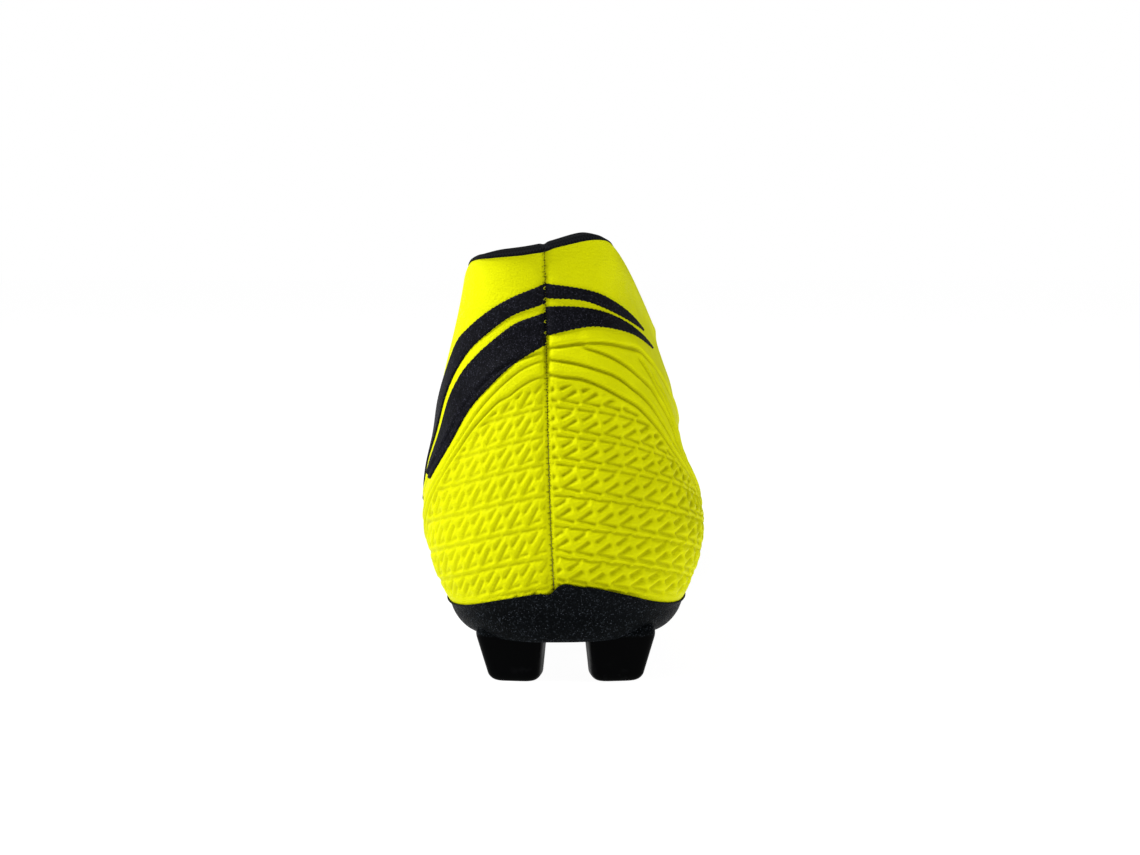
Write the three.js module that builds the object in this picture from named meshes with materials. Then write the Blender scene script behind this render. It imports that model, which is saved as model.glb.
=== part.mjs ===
// Left football boot for firm ground: a mid-height textured upper on a studded plate.
// Millimetres. +X is the inner (medial) side, +Y points to the toe, +Z is up.
import * as THREE from 'three'

// ---------------------------------------------------------------------------------------
// Driving dimensions
// ---------------------------------------------------------------------------------------

// The outside of the upper is one smooth skin. Four lines run round the boot from the heel
// seam to the toe, each through 14 stations of [y, z, x lateral, x medial, z medial if other]:
// the feather edge at the plate, two guide lines, and the topline that becomes the instep ridge.
const FEATHER = [
  [4, 16, -2.8, -2.8], [6.5, 15.2, -18, 15], [18, 14.8, -28.5, 28.3], [38, 14.8, -30, 31],
  [62, 15.2, -28.8, 28.5], [86, 16.8, -28.5, 25], [110, 17.2, -31.5, 24], [134, 16.2, -37, 27.5],
  [160, 14.4, -43, 35], [190, 13.4, -46, 42], [220, 14.2, -43, 43.5], [247, 16.8, -34, 38.5],
  [269, 20.4, -18, 26], [280, 22.8, 5, 5],
]
const LOWER_GUIDE = [
  [-6, 42, -5.3, -5.3], [-2, 42, -24, 20], [12, 41, -41.5, 43], [38, 40, -44, 46],
  [64, 40, -43, 42], [88, 42, -42, 37], [112, 43, -43, 35], [137, 42, -46, 37],
  [163, 38, -50, 43], [192, 35, -52, 49], [223, 33, -49.5, 51], [251, 33, -40, 46.5],
  [276, 35, -21, 30], [289, 35, 5, 5],
]
const UPPER_GUIDE = [
  [13, 76, -5.2, -5.2], [15, 76, -15, 9], [22, 76, -26, 17], [40, 75, -30.5, 23],
  [62, 73, -31.5, 26], [86, 79, -29, 26], [108, 94, -18, 17], [134, 83.5, -20, 19],
  [160, 70.5, -22, 21], [190, 60, -25, 25], [220, 53.5, -25, 28], [247, 50, -19, 26],
  [268, 48, -8, 18], [278, 45, 5.5, 5.5],
]
const TOPLINE = [
  [5.5, 104, -5, -5, 105], [7, 103.8, -17, 7, 109.5], [14, 103.4, -24, 12, 106.5],
  [36, 96, -26, 17, 97], [62, 83, -28.5, 23.5], [90, 84, -27, 24], [108, 98.5, -0.5, -0.5],
  [133, 84.5, 0, 0], [159, 71, 0.5, 0.5], [189, 60.2, 1.5, 1.5], [217, 53.2, 3, 3],
  [239, 49.5, 4.5, 4.5], [253, 47.5, 5.3, 5.3], [260, 46.5, 5.6, 5.6],
]
const TOE = FEATHER.length - 1
const AROUND = 2 * TOE

// Layers of the upper, as distances from its outer face, inwards negative: [inner, outer].
const SKIN = [-1.1, 0]
const OVERLAY = [0.3, 0.8]
const STIFFENER = [-2.8, -1.6]
const FOAM = [-3.8, -1.6]
const LINING = [-5.0, -4.2]
const TONGUE = [-3.3, -1.7]
const BINDING = [-5.3, 0.5]

const STATION_STEP = 0.25
const BINDING_HEIGHT = 2.2
const GAP = 0.3
const SEAM_GAP = 0.015
const QUARTER_END = 5.6
const COLLAR_END = 5.3

// The throat is the U-shaped opening over the instep: the height of its edge at some stations.
const THROAT_START = 6.6
const THROAT_END = 9.9
const THROAT_EDGE = [[5.2, 0.84], [6, 0.8], [7, 0.82], [8, 0.87], [9, 0.92], [9.9, 0.95], [13, 0.95]]

// Plate: height of its underside and its floor thickness at the 14 stations.
const GROUND = -3.2
const PLATE_BOTTOM = [7.7, 7.7, 7.7, 7.9, 8.8, 11, 12, 11, 8.6, 7.6, 8.2, 11, 15, 17.6]
const FLOOR = [4.4, 4.4, 4.4, 4.2, 3.6, 3, 2.6, 2.6, 3, 3, 3.2, 3, 2.6, 2.6]
// outer wall: [inset from the feather edge, share of the way from the underside up to it]
const WALL = [[7.4, 0], [5.9, 0.12], [3.7, 0.37], [1.2, 0.65], [-0.5, 0.92]]
const FLOOR_INSET = 4.4
const PLATE_RIM = [0.3, 0.8]
const BOARD_THICKNESS = 1.4
const SOCKLINER_THICKNESS = 2.8

// Studs: name, centre x and y, half width, half length and turn in degrees.
const STUDS = [
  ['stud_heel_rear_lateral', -13.2, 17.2, 8.3, 6, 0],
  ['stud_heel_rear_medial', 13.3, 17.2, 8.3, 6, 0],
  ['stud_heel_front_lateral', -14.2, 52, 7.2, 5.4, 6],
  ['stud_heel_front_medial', 13.6, 52, 7.2, 5.4, -6],
  ['stud_waist_lateral', -26.5, 146, 5.2, 6.8, -14],
  ['stud_waist_medial', 18.5, 146, 5.2, 6.8, 14],
  ['stud_ball_lateral', -32, 180, 5.2, 6.8, -8],
  ['stud_ball_medial', 27.5, 182, 5.2, 6.8, 8],
  ['stud_tread_lateral', -30, 212, 5.2, 6.4, 10],
  ['stud_tread_medial', 30, 214, 5.2, 6.4, -10],
  ['stud_toe_lateral', -15, 238, 6.2, 4.6, 14],
  ['stud_toe_medial', 17, 242, 6.2, 4.6, -14],
]
const STUD_TAPER = 0.8
const STUD_ROUNDING = 1.8
const STUD_POINTS = 20

// Heel bands: [station, height of lower edge, height of upper edge] from the seam outwards.
const BANDS = {
  heel_band_upper_lateral: [[-0.17, 0.836, 0.889], [-0.74, 0.812, 0.865], [-1.2, 0.772, 0.836],
    [-1.73, 0.71, 0.792], [-2.2, 0.61, 0.745], [-2.45, 0.52, 0.69], [-2.9, 0.4, 0.6],
    [-3.5, 0.25, 0.47], [-4, 0.13, 0.34], [-4.3, 0.09, 0.24], [-4.7, 0.09, 0.12]],
  heel_band_lower_lateral: [[-0.17, 0.725, 0.812], [-0.69, 0.675, 0.79], [-1.05, 0.625, 0.756],
    [-1.46, 0.555, 0.708], [-1.8, 0.462, 0.655], [-2.06, 0.4, 0.585], [-2.25, 0.372, 0.5],
    [-2.4, 0.37, 0.43]],
  heel_band_upper_medial: [[0.17, 0.85, 0.886], [0.75, 0.833, 0.864], [1.18, 0.812, 0.846],
    [1.57, 0.796, 0.828], [2, 0.785, 0.81], [2.4, 0.78, 0.79]],
  heel_band_lower_medial: [[0.17, 0.765, 0.824], [0.75, 0.765, 0.815], [1.34, 0.76, 0.797],
    [1.91, 0.75, 0.775], [2.4, 0.742, 0.757], [2.65, 0.738, 0.745]],
}

// Zigzag stitching down the heel seam.
const STITCH_PITCH = 1.3
const STITCH_HALF_WIDTH = 1.0
const THREAD_WIDTH = 0.36

// Colours and finishes of the materials: colour, roughness.
const MATERIALS = {
  upper: [0xdfe500, 0.45],
  overlay: [0x23262c, 0.7],
  binding: [0x2b2d32, 0.9],
  lining: [0x1d1e21, 0.95],
  foam: [0x3a3b3f, 0.95],
  stiffener: [0xd8d4c4, 0.8],
  board: [0xcfc6b0, 0.9],
  sockliner: [0x26282c, 0.85],
  elastic: [0x26282c, 0.9],
  thread: [0xc9cc3a, 0.5],
  plate: [0x141518, 0.5],
  stud: [0x0c0c0d, 0.25],
}

// ---------------------------------------------------------------------------------------
// The skin of the upper
// ---------------------------------------------------------------------------------------

// One closed ring of control points: medial stations 0..13, then lateral stations 12..1.
function closedRing(line) {
  const medial = line.map(([y, z, , x, zMedial = z]) => new THREE.Vector3(x, y, zMedial))
  const lateral = line.map(([y, z, x]) => new THREE.Vector3(x, y, z))
  return [...medial, ...lateral.slice(1, TOE).reverse()]
}

const RINGS = [FEATHER, LOWER_GUIDE, UPPER_GUIDE, TOPLINE].map(closedRing)

function splineWeights(f) {
  return [(1 - f) ** 3 / 6, (3 * f ** 3 - 6 * f ** 2 + 4) / 6,
    (-3 * f ** 3 + 3 * f ** 2 + 3 * f + 1) / 6, f ** 3 / 6]
}

// A point of the skin. Station 0 is the heel seam, positive medial, negative lateral and 13
// the toe; height is 0 at the feather edge and 1 at the topline or the instep ridge.
function skinPoint(station, height) {
  const first = Math.floor(station)
  const along = splineWeights(station - first)
  const up = [(1 - height) ** 3, 3 * height * (1 - height) ** 2,
    3 * height ** 2 * (1 - height), height ** 3]
  const point = new THREE.Vector3()
  RINGS.forEach((ring, row) => along.forEach((weight, k) => {
    const index = (first + k - 1 + 2 * AROUND) % AROUND
    point.addScaledVector(ring[index], weight * up[row])
  }))
  return point
}

function skinAlong(station, height) {
  return skinPoint(station + 0.01, height).sub(skinPoint(station - 0.01, height)).divideScalar(0.02)
}

function skinUp(station, height) {
  return skinPoint(station, height + 0.002).sub(skinPoint(station, height - 0.002)).divideScalar(0.004)
}

function skinNormal(station, height) {
  return skinAlong(station, height).cross(skinUp(station, height)).normalize()
}

// A value given at the 14 stations, smoothed the same way as the skin.
function atStation(values, station) {
  const first = Math.floor(station)
  return splineWeights(station - first).reduce((sum, weight, k) => {
    const index = (first + k - 1 + 2 * AROUND) % AROUND
    return sum + weight * values[index > TOE ? AROUND - index : index]
  }, 0)
}

// Straight-line lookup in a list of [position, value, ...] rows sorted by position.
function lookUp(rows, position, column = 1) {
  const ordered = rows[0][0] < rows[rows.length - 1][0] ? rows : [...rows].reverse()
  const next = Math.max(1, ordered.findIndex((row) => row[0] >= position))
  const [a, b] = [ordered[next - 1], ordered[next]]
  const f = THREE.MathUtils.clamp((position - a[0]) / (b[0] - a[0]), 0, 1)
  return THREE.MathUtils.lerp(a[column], b[column], f)
}

// The height that lies a given number of millimetres under the topline.
function underTopline(station, distance) {
  return 1 - distance / skinUp(station, 1).length()
}

// Upper edge of the skin: just under the binding round the collar, then down the throat.
function skinEdge(station) {
  const s = Math.abs(station)
  const collar = underTopline(station, BINDING_HEIGHT + GAP)
  const throat = lookUp(THROAT_EDGE, s)
  return THREE.MathUtils.lerp(collar, throat, THREE.MathUtils.smoothstep(s, 5.1, 6))
}

// ---------------------------------------------------------------------------------------
// Solid builders
// ---------------------------------------------------------------------------------------

function range(start, end, steps) {
  return Array.from({ length: steps + 1 }, (_, i) => start + ((end - start) * i) / steps)
}

// Columns of every layer stand at the same stations, so curved layers stay evenly apart.
function stationsBetween(start, end) {
  const first = Math.floor(start / STATION_STEP) + 1
  const inside = range(first, Math.ceil(end / STATION_STEP) - 1, Math.ceil(end / STATION_STEP) - 1 - first)
  return [start, ...inside.map((i) => i * STATION_STEP), end]
}

// Cells between neighbouring columns of [station, height] corners.
function cellsBetween(columns) {
  const cells = []
  for (let i = 0; i + 1 < columns.length; i += 1) {
    for (let j = 0; j + 1 < columns[i].length; j += 1) {
      cells.push([columns[i][j], columns[i + 1][j], columns[i + 1][j + 1], columns[i][j + 1]])
    }
  }
  return cells
}

function geometryOf(points, triangles) {
  const geometry = new THREE.BufferGeometry().setFromPoints(points)
  geometry.setIndex(triangles.flat())
  geometry.computeVertexNormals()
  return geometry
}

// Triangles of one cell, less any corners that fell together.
function trianglesOf(corners) {
  const face = corners.filter((v, i) => v !== corners[(i + 1) % corners.length])
  if (face.length < 3) return []
  if (face.length === 3) return [face]
  const [a, b, c, d] = face
  return [[a, b, c], [a, c, d]]
}

// A closed solid from cells of the skin, thickened between two offsets along the normal.
// Corners that fall together are welded; walls close every edge that has one cell.
function layer(cells, [inner, outer]) {
  const corners = new Map()
  const indexOf = ([station, height]) => {
    const point = skinPoint(station, height)
    const key = point.toArray().map((v) => Math.round(v * 500)).join()
    if (!corners.has(key)) {
      corners.set(key, { index: corners.size, point, normal: new THREE.Vector3() })
    }
    const corner = corners.get(key)
    corner.normal.add(skinNormal(station, height))
    return corner.index
  }
  const faces = cells.flatMap((cell) => trianglesOf(cell.map(indexOf)))
  const list = [...corners.values()]
  const count = list.length
  list.forEach(({ normal }) => normal.normalize())
  const offset = (amount) => (
    list.map(({ point, normal }) => point.clone().addScaledVector(normal, amount)))
  const edges = new Set(faces.flatMap(([a, b, c]) => [`${a},${b}`, `${b},${c}`, `${c},${a}`]))
  const openEdges = [...edges].filter((edge) => !edges.has(edge.split(',').reverse().join()))
  const walls = openEdges.flatMap((edge) => {
    const [a, b] = edge.split(',').map(Number)
    return [[a, a + count, b + count], [a, b + count, b]]
  })
  const back = faces.map(([a, b, c]) => [a + count, c + count, b + count])
  return geometryOf([...offset(outer), ...offset(inner)], [...faces, ...back, ...walls])
}

// A closed solid from a stack of rings with equal point counts, capped across both ends.
// Each cap joins every point to its mirror partner on the other side of the ring.
function ringStack(rings) {
  const n = rings[0].length
  const triangles = []
  for (let r = 0; r + 1 < rings.length; r += 1) {
    for (let i = 0; i < n; i += 1) {
      const [a, b] = [r * n + i, r * n + ((i + 1) % n)]
      triangles.push([a, b, b + n], [a, b + n, a + n])
    }
  }
  const top = (rings.length - 1) * n
  for (let i = 0; i < n / 2; i += 1) {
    const strip = [[i, (i + 1) % n, (n - i - 1) % n], [i, (n - i - 1) % n, (n - i) % n]]
    strip.filter(([a, b, c]) => a !== b && b !== c && c !== a).forEach(([a, b, c]) => {
      triangles.push([a, c, b], [top + a, top + b, top + c])
    })
  }
  return geometryOf(rings.flat(), triangles)
}

// ---------------------------------------------------------------------------------------
// Upper
// ---------------------------------------------------------------------------------------

function quarter(side) {
  const columns = stationsBetween(SEAM_GAP, QUARTER_END - 0.02).map((s) => (
    range(0, skinEdge(side * s), 8).map((height) => [side * s, height])))
  return layer(cellsBetween(side > 0 ? columns : columns.reverse()), SKIN)
}

// Both sides of one station across the instep, from one height over the ridge to the other.
function acrossInstep(s, height, steps) {
  const medial = range(height, 1, steps).map((h) => [s, h])
  const lateral = range(1, height, steps).map((h) => [-s, h])
  return [...medial, ...lateral]
}

function vamp() {
  const stations = [...stationsBetween(QUARTER_END, THROAT_END), ...stationsBetween(THROAT_END, TOE).slice(1)]
  const sides = [1, -1].flatMap((side) => {
    const columns = stations.map((s) => range(0, skinEdge(s), 6).map((height) => [side * s, height]))
    return cellsBetween(side > 0 ? columns : columns.reverse())
  })
  const front = stations.filter((s) => s >= THROAT_END).map((s) => acrossInstep(s, skinEdge(s), 1))
  return layer([...sides, ...cellsBetween(front)], SKIN)
}

function heelBand(rows) {
  const side = Math.sign(rows[0][0])
  const stations = stationsBetween(Math.abs(rows[0][0]), Math.abs(rows[rows.length - 1][0]))
  const columns = stations.map((s) => {
    const [low, high] = [lookUp(rows, side * s, 1), lookUp(rows, side * s, 2)]
    return range(low, high, 3).map((height) => [side * s, height])
  })
  return layer(cellsBetween(side > 0 ? columns : columns.reverse()), OVERLAY)
}

function collarLayer(low, high, thickness, rows) {
  const columns = stationsBetween(-COLLAR_END, COLLAR_END).map((station) => (
    range(low(station), high(station), rows).map((height) => [station, height])))
  return layer(cellsBetween(columns), thickness)
}

const collarBinding = () => collarLayer((s) => underTopline(s, BINDING_HEIGHT), () => 1, BINDING, 2)
const underBinding = (station) => Math.min(underTopline(station, BINDING_HEIGHT + 3 * GAP), skinEdge(station))
const collarLining = () => collarLayer(() => 0.07, underBinding, LINING, 5)
const collarFoam = () => collarLayer(() => 0.56, underBinding, FOAM, 3)

function heelCounter() {
  const columns = stationsBetween(-2.9, 2.9).map((station) => {
    const top = 0.5 * Math.cos(station * 0.35)
    return range(0.04, top, 5).map((height) => [station, height])
  })
  return layer(cellsBetween(columns), STIFFENER)
}

function toePuff() {
  const columns = stationsBetween(11.4, AROUND - 11.4).map((station) => {
    const top = 0.62 - 0.1 * Math.abs(station - TOE)
    return range(0.05, top, 4).map((height) => [station, height])
  })
  return layer(cellsBetween(columns), STIFFENER)
}

// Knitted elastic that closes the throat from below, tucked under both edges of the skin.
function throatElastic() {
  const stations = stationsBetween(THROAT_START, THROAT_END + 0.25)
  return layer(cellsBetween(stations.map((s) => acrossInstep(s, lookUp(THROAT_EDGE, s) - 0.05, 3))), TONGUE)
}

// Free top end of the tongue. It stands between the throat edges, clear of the skin.
function tongueTab() {
  const stations = stationsBetween(5.72, THROAT_START - 0.03)
  return layer(cellsBetween(stations.map((s) => acrossInstep(s, lookUp(THROAT_EDGE, s) + 0.04, 3))), TONGUE)
}

// Welded tape round the throat edge: down one side, across the end and up the other.
function throatTrim() {
  const width = 0.07
  const stations = stationsBetween(5.95, THROAT_END)
  const sides = [1, -1].flatMap((side) => {
    const columns = stations.map((s) => {
      const edge = skinEdge(s) - 0.004
      return [edge - width, edge - width / 2, edge].map((height) => [side * s, height])
    })
    return cellsBetween(side > 0 ? columns : columns.reverse())
  })
  const end = range(THROAT_END, THROAT_END + 0.25, 2).map((s) => {
    const edge = skinEdge(s) - 0.004
    const medial = [edge - width, edge - width / 2, edge, 1].map((height) => [s, height])
    return [...medial, ...medial.map(([, height]) => [-s, height]).reverse()]
  })
  return layer([...sides, ...cellsBetween(end)], OVERLAY)
}

// One thread that zigzags down the seam: inner corner on one edge, outer on the other.
function heelSeamThread() {
  const top = underTopline(0, BINDING_HEIGHT + 2 * GAP)
  const bottom = 0.11
  const length = skinUp(0, 0.5).length() * (top - bottom)
  const count = Math.round((2 * length) / STITCH_PITCH)
  const corner = Math.atan(STITCH_PITCH / (4 * STITCH_HALF_WIDTH))
  const mitre = THREAD_WIDTH / 2 / Math.sin(corner)
  const columns = range(top, bottom, count).map((height, i) => {
    const side = i % 2 ? 1 : -1
    const stationWidth = skinAlong(0, height).length()
    const centre = side * STITCH_HALF_WIDTH
    return [[(centre - mitre) / stationWidth, height], [(centre + mitre) / stationWidth, height]]
  })
  return layer(cellsBetween(columns), OVERLAY)
}

// ---------------------------------------------------------------------------------------
// Underfoot
// ---------------------------------------------------------------------------------------

const featherHeight = (station) => skinPoint(station, 0).z

// The feather edge moved inwards in plan and set to a height.
function outlinePoint(station, inset, z) {
  const along = skinAlong(station, 0)
  const outward = new THREE.Vector3(along.y, -along.x, 0).normalize()
  return skinPoint(station, 0).addScaledVector(outward, -inset).setZ(z)
}

const plateStations = range(0, AROUND, AROUND / STATION_STEP).slice(0, -1)
const plateBottom = (station) => atStation(PLATE_BOTTOM, station)
const floorTop = (station) => plateBottom(station) + atStation(FLOOR, station)

// Height of the plate's rim on the skin: low at the sides, a tab at the heel, a toe bumper.
function rimHeight(station) {
  const fromSeam = station > TOE ? station - AROUND : station
  const heelTab = 0.06 * Math.exp(-(((fromSeam - 0.25) / 0.75) ** 2))
  const toeBumper = 0.1 * Math.exp(-(((Math.abs(fromSeam) - TOE) / 1.6) ** 2))
  return 0.025 + heelTab + toeBumper
}

function rimPoint(station, offset) {
  const height = rimHeight(station)
  return skinPoint(station, height).addScaledVector(skinNormal(station, height), offset)
}

function outsolePlate() {
  const wall = WALL.map(([inset, share]) => plateStations.map((s) => (
    outlinePoint(s, inset, THREE.MathUtils.lerp(plateBottom(s), featherHeight(s), share)))))
  return ringStack([
    ...wall,
    plateStations.map((s) => rimPoint(s, PLATE_RIM[1])),
    plateStations.map((s) => rimPoint(s, PLATE_RIM[0])),
    plateStations.map((s) => outlinePoint(s, -PLATE_RIM[0], featherHeight(s) - GAP)),
    plateStations.map((s) => outlinePoint(s, FLOOR_INSET, floorTop(s))),
  ])
}

// A sheet that lies in the boot, parallel to the plate's floor.
function insoleSheet(inset, lift, thickness) {
  const rings = [lift, lift + thickness].map((rise) => (
    plateStations.filter((_, i) => i % 2 === 0).map((s) => outlinePoint(s, inset(s), floorTop(s) + rise))))
  return ringStack(rings)
}

const lastingBoard = () => insoleSheet(() => FLOOR_INSET + GAP, GAP, BOARD_THICKNESS)

function sockliner() {
  const inset = (station) => {
    const s = Math.min(station, AROUND - station)
    return THREE.MathUtils.lerp(6, 4.7, THREE.MathUtils.smoothstep(s, 5, 7.5))
  }
  return insoleSheet(inset, BOARD_THICKNESS + 2 * GAP, SOCKLINER_THICKNESS)
}

// The station where the boot has a given y, on one side.
function stationAtY(y, side) {
  return range(0, TOE, 130).find((s) => skinPoint(side * s, 0).y >= y)
}

// A stud: a rounded oblong that tapers to a flat tip on the ground.
function stud(x, y, halfWidth, halfLength, turn) {
  const reach = [y - 1.2 * halfLength, y, y + 1.2 * halfLength]
  const undersides = [1, -1].flatMap((side) => reach.map((at) => plateBottom(stationAtY(at, side))))
  const root = Math.min(...undersides) - GAP
  const rings = [
    [GROUND, STUD_TAPER * (1 - STUD_ROUNDING / (2 * halfWidth))],
    [GROUND + STUD_ROUNDING / 2, STUD_TAPER * (1 + 0.02)],
    [GROUND + 2 * STUD_ROUNDING, STUD_TAPER * 1.1],
    [root - 1.2, 0.96],
  ].map(([z, scale]) => range(0, 2 * Math.PI, STUD_POINTS).slice(0, -1).map((angle) => {
    const [c, s] = [Math.cos(angle), Math.sin(angle)]
    const round = (v) => Math.sign(v) * Math.abs(v) ** 0.6
    return new THREE.Vector3(halfWidth * scale * round(c), halfLength * scale * round(s), z)
  }))
  const geometry = ringStack(rings.concat([rings[3].map((p) => p.clone().setZ(root))]))
  return { geometry, place: new THREE.Vector3(x, y, 0), turn: THREE.MathUtils.degToRad(turn) }
}

// ---------------------------------------------------------------------------------------
// Assembly
// ---------------------------------------------------------------------------------------

const boot = new THREE.Group()

function add(name, materialName, geometry) {
  const [color, roughness] = MATERIALS[materialName]
  const material = new THREE.MeshStandardMaterial({ color, roughness, metalness: 0 })
  const mesh = new THREE.Mesh(geometry, material)
  mesh.name = name
  boot.add(mesh)
  return mesh
}

add('outsole_plate', 'plate', outsolePlate())
STUDS.forEach(([name, ...shape]) => {
  const { geometry, place, turn } = stud(...shape)
  const mesh = add(name, 'stud', geometry)
  mesh.position.copy(place)
  mesh.rotation.z = turn
})
add('lasting_board', 'board', lastingBoard())
add('sockliner', 'sockliner', sockliner())
add('heel_counter', 'stiffener', heelCounter())
add('toe_puff', 'stiffener', toePuff())
add('quarter_lateral', 'upper', quarter(-1))
add('quarter_medial', 'upper', quarter(1))
add('vamp', 'upper', vamp())
Object.entries(BANDS).forEach(([name, rows]) => add(name, 'overlay', heelBand(rows)))
add('heel_seam_thread', 'thread', heelSeamThread())
add('collar_foam', 'foam', collarFoam())
add('collar_lining', 'lining', collarLining())
add('collar_binding', 'binding', collarBinding())
add('throat_elastic', 'elastic', throatElastic())
add('throat_trim', 'overlay', throatTrim())
add('tongue_tab', 'elastic', tongueTab())

// The row frame's origin is the middle of the underside of the whole boot.
const bounds = new THREE.Box3().setFromObject(boot)
const middle = bounds.getCenter(new THREE.Vector3())
boot.position.set(-middle.x, -middle.y, -bounds.min.z)

export default boot
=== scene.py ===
"""Left football boot for firm ground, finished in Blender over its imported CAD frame.

Lengths are in millimetres until a mesh is made. The frame is the CAD's: +X to the inner side,
+Y from heel to toe, +Z up.
"""
import math
from collections import namedtuple

import bmesh
import bpy
import numpy as np
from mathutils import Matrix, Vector


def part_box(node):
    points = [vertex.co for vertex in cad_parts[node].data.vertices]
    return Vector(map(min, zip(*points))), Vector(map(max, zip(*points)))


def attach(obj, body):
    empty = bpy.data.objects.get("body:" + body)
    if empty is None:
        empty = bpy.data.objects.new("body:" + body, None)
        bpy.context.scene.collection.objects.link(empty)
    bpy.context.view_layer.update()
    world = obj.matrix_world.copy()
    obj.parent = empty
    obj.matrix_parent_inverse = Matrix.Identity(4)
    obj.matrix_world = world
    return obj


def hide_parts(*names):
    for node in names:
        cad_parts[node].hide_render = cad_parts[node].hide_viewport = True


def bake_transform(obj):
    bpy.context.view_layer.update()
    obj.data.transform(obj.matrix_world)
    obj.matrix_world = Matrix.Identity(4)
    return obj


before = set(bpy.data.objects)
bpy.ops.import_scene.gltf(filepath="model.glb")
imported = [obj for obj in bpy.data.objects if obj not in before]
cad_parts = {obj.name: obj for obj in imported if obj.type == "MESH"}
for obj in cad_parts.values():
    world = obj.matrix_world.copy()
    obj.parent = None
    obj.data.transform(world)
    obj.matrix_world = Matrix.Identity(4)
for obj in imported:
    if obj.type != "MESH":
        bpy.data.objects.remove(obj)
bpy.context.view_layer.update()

# ---- Driving dimensions ----

# The same four lines round the boot as in the CAD, at 14 stations from the heel seam to the
# toe, each [y, z, x lateral, x medial, z medial where it differs].

FEATHER = [
    [4, 16, -2.8, -2.8], [6.5, 15.2, -18, 15], [18, 14.8, -28.5, 28.3], [38, 14.8, -30, 31],
    [62, 15.2, -28.8, 28.5], [86, 16.8, -28.5, 25], [110, 17.2, -31.5, 24], [134, 16.2, -37, 27.5],
    [160, 14.4, -43, 35], [190, 13.4, -46, 42], [220, 14.2, -43, 43.5], [247, 16.8, -34, 38.5],
    [269, 20.4, -18, 26], [280, 22.8, 5, 5],
]
LOWER_GUIDE = [
    [-6, 42, -5.3, -5.3], [-2, 42, -24, 20], [12, 41, -41.5, 43], [38, 40, -44, 46],
    [64, 40, -43, 42], [88, 42, -42, 37], [112, 43, -43, 35], [137, 42, -46, 37],
    [163, 38, -50, 43], [192, 35, -52, 49], [223, 33, -49.5, 51], [251, 33, -40, 46.5],
    [276, 35, -21, 30], [289, 35, 5, 5],
]
UPPER_GUIDE = [
    [13, 76, -5.2, -5.2], [15, 76, -15, 9], [22, 76, -26, 17], [40, 75, -30.5, 23],
    [62, 73, -31.5, 26], [86, 79, -29, 26], [108, 94, -18, 17], [134, 83.5, -20, 19],
    [160, 70.5, -22, 21], [190, 60, -25, 25], [220, 53.5, -25, 28], [247, 50, -19, 26],
    [268, 48, -8, 18], [278, 45, 5.5, 5.5],
]
TOPLINE = [
    [5.5, 104, -5, -5, 105], [7, 103.8, -17, 7, 109.5], [14, 103.4, -24, 12, 106.5],
    [36, 96, -26, 17, 97], [62, 83, -28.5, 23.5], [90, 84, -27, 24], [108, 98.5, -0.5, -0.5],
    [133, 84.5, 0, 0], [159, 71, 0.5, 0.5], [189, 60.2, 1.5, 1.5], [217, 53.2, 3, 3],
    [239, 49.5, 4.5, 4.5], [253, 47.5, 5.3, 5.3], [260, 46.5, 5.6, 5.6],
]
TOE = len(FEATHER) - 1
SKIN_THICKNESS = 1.1
QUARTER_END = 5.6
COLLAR_END = 5.3
THROAT_END = 9.9
# Edge of the skin beside the throat, [station, height].
THROAT_EDGE = [[5.2, 0.84], [6, 0.8], [7, 0.82], [8, 0.87], [9, 0.92], [9.9, 0.95], [13, 0.95]]
# Height of the sole's underside at the stations, and of the ground under the studs.
PLATE_BOTTOM = [7.7, 7.7, 7.7, 7.9, 8.8, 11, 12, 11, 8.6, 7.6, 8.2, 11, 15, 17.6]
GROUND = -3.2

# The CAD centres the boot on its own box; a stud with a known place gives that move back.
STUD_REFERENCE = (-13.2, 17.2, GROUND)
low, high = (np.array(corner) * 1000 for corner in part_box("stud_heel_rear_lateral"))
ORIGIN = np.array([(low[0] + high[0]) / 2, (low[1] + high[1]) / 2, low[2]]) - STUD_REFERENCE


def to_row(points):
    """Points in the design's millimetres as metres in the row frame."""
    return (np.asarray(points, float) + ORIGIN) / 1000


# ---- The skin of the upper as a surface of station and height ----

def closed_ring(line):
    rows = np.array([row + [row[1]] * (5 - len(row)) for row in line], float)
    medial = np.stack([rows[:, 3], rows[:, 0], rows[:, 4]], 1)
    lateral = np.stack([rows[:, 2], rows[:, 0], rows[:, 1]], 1)
    return np.concatenate([medial, lateral[-2:0:-1]])


RINGS = np.stack([closed_ring(line) for line in (FEATHER, LOWER_GUIDE, UPPER_GUIDE, TOPLINE)])


def floats(*values):
    """Arrays of one common shape."""
    return np.broadcast_arrays(*(np.asarray(value, float) for value in values))


def spline_weights(f):
    return ((1 - f) ** 3 / 6, (3 * f ** 3 - 6 * f ** 2 + 4) / 6,
            (-3 * f ** 3 + 3 * f ** 2 + 3 * f + 1) / 6, f ** 3 / 6)


def skin(station, height):
    """Points of the skin. Station 0 is the heel seam, positive medial, negative lateral and
    13 the toe; height is 0 at the feather edge and 1 at the topline or the instep ridge."""
    station, height = floats(station, height)
    first = np.floor(station).astype(int)
    along = spline_weights(station - first)
    up = ((1 - height) ** 3, 3 * height * (1 - height) ** 2, 3 * height ** 2 * (1 - height), height ** 3)
    point = np.zeros(station.shape + (3,))
    for row in range(4):
        for k in range(4):
            corner = RINGS[row][(first + k - 1) % RINGS.shape[1]]
            point += (along[k] * up[row])[..., None] * corner
    return point


def size(vectors):
    return np.linalg.norm(vectors, axis=-1)


def unit(vectors):
    return vectors / np.maximum(size(vectors)[..., None], 1e-9)


def between(first, second, share):
    """A value on the way from the first to the second."""
    return first * (1 - share) + second * share


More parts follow.
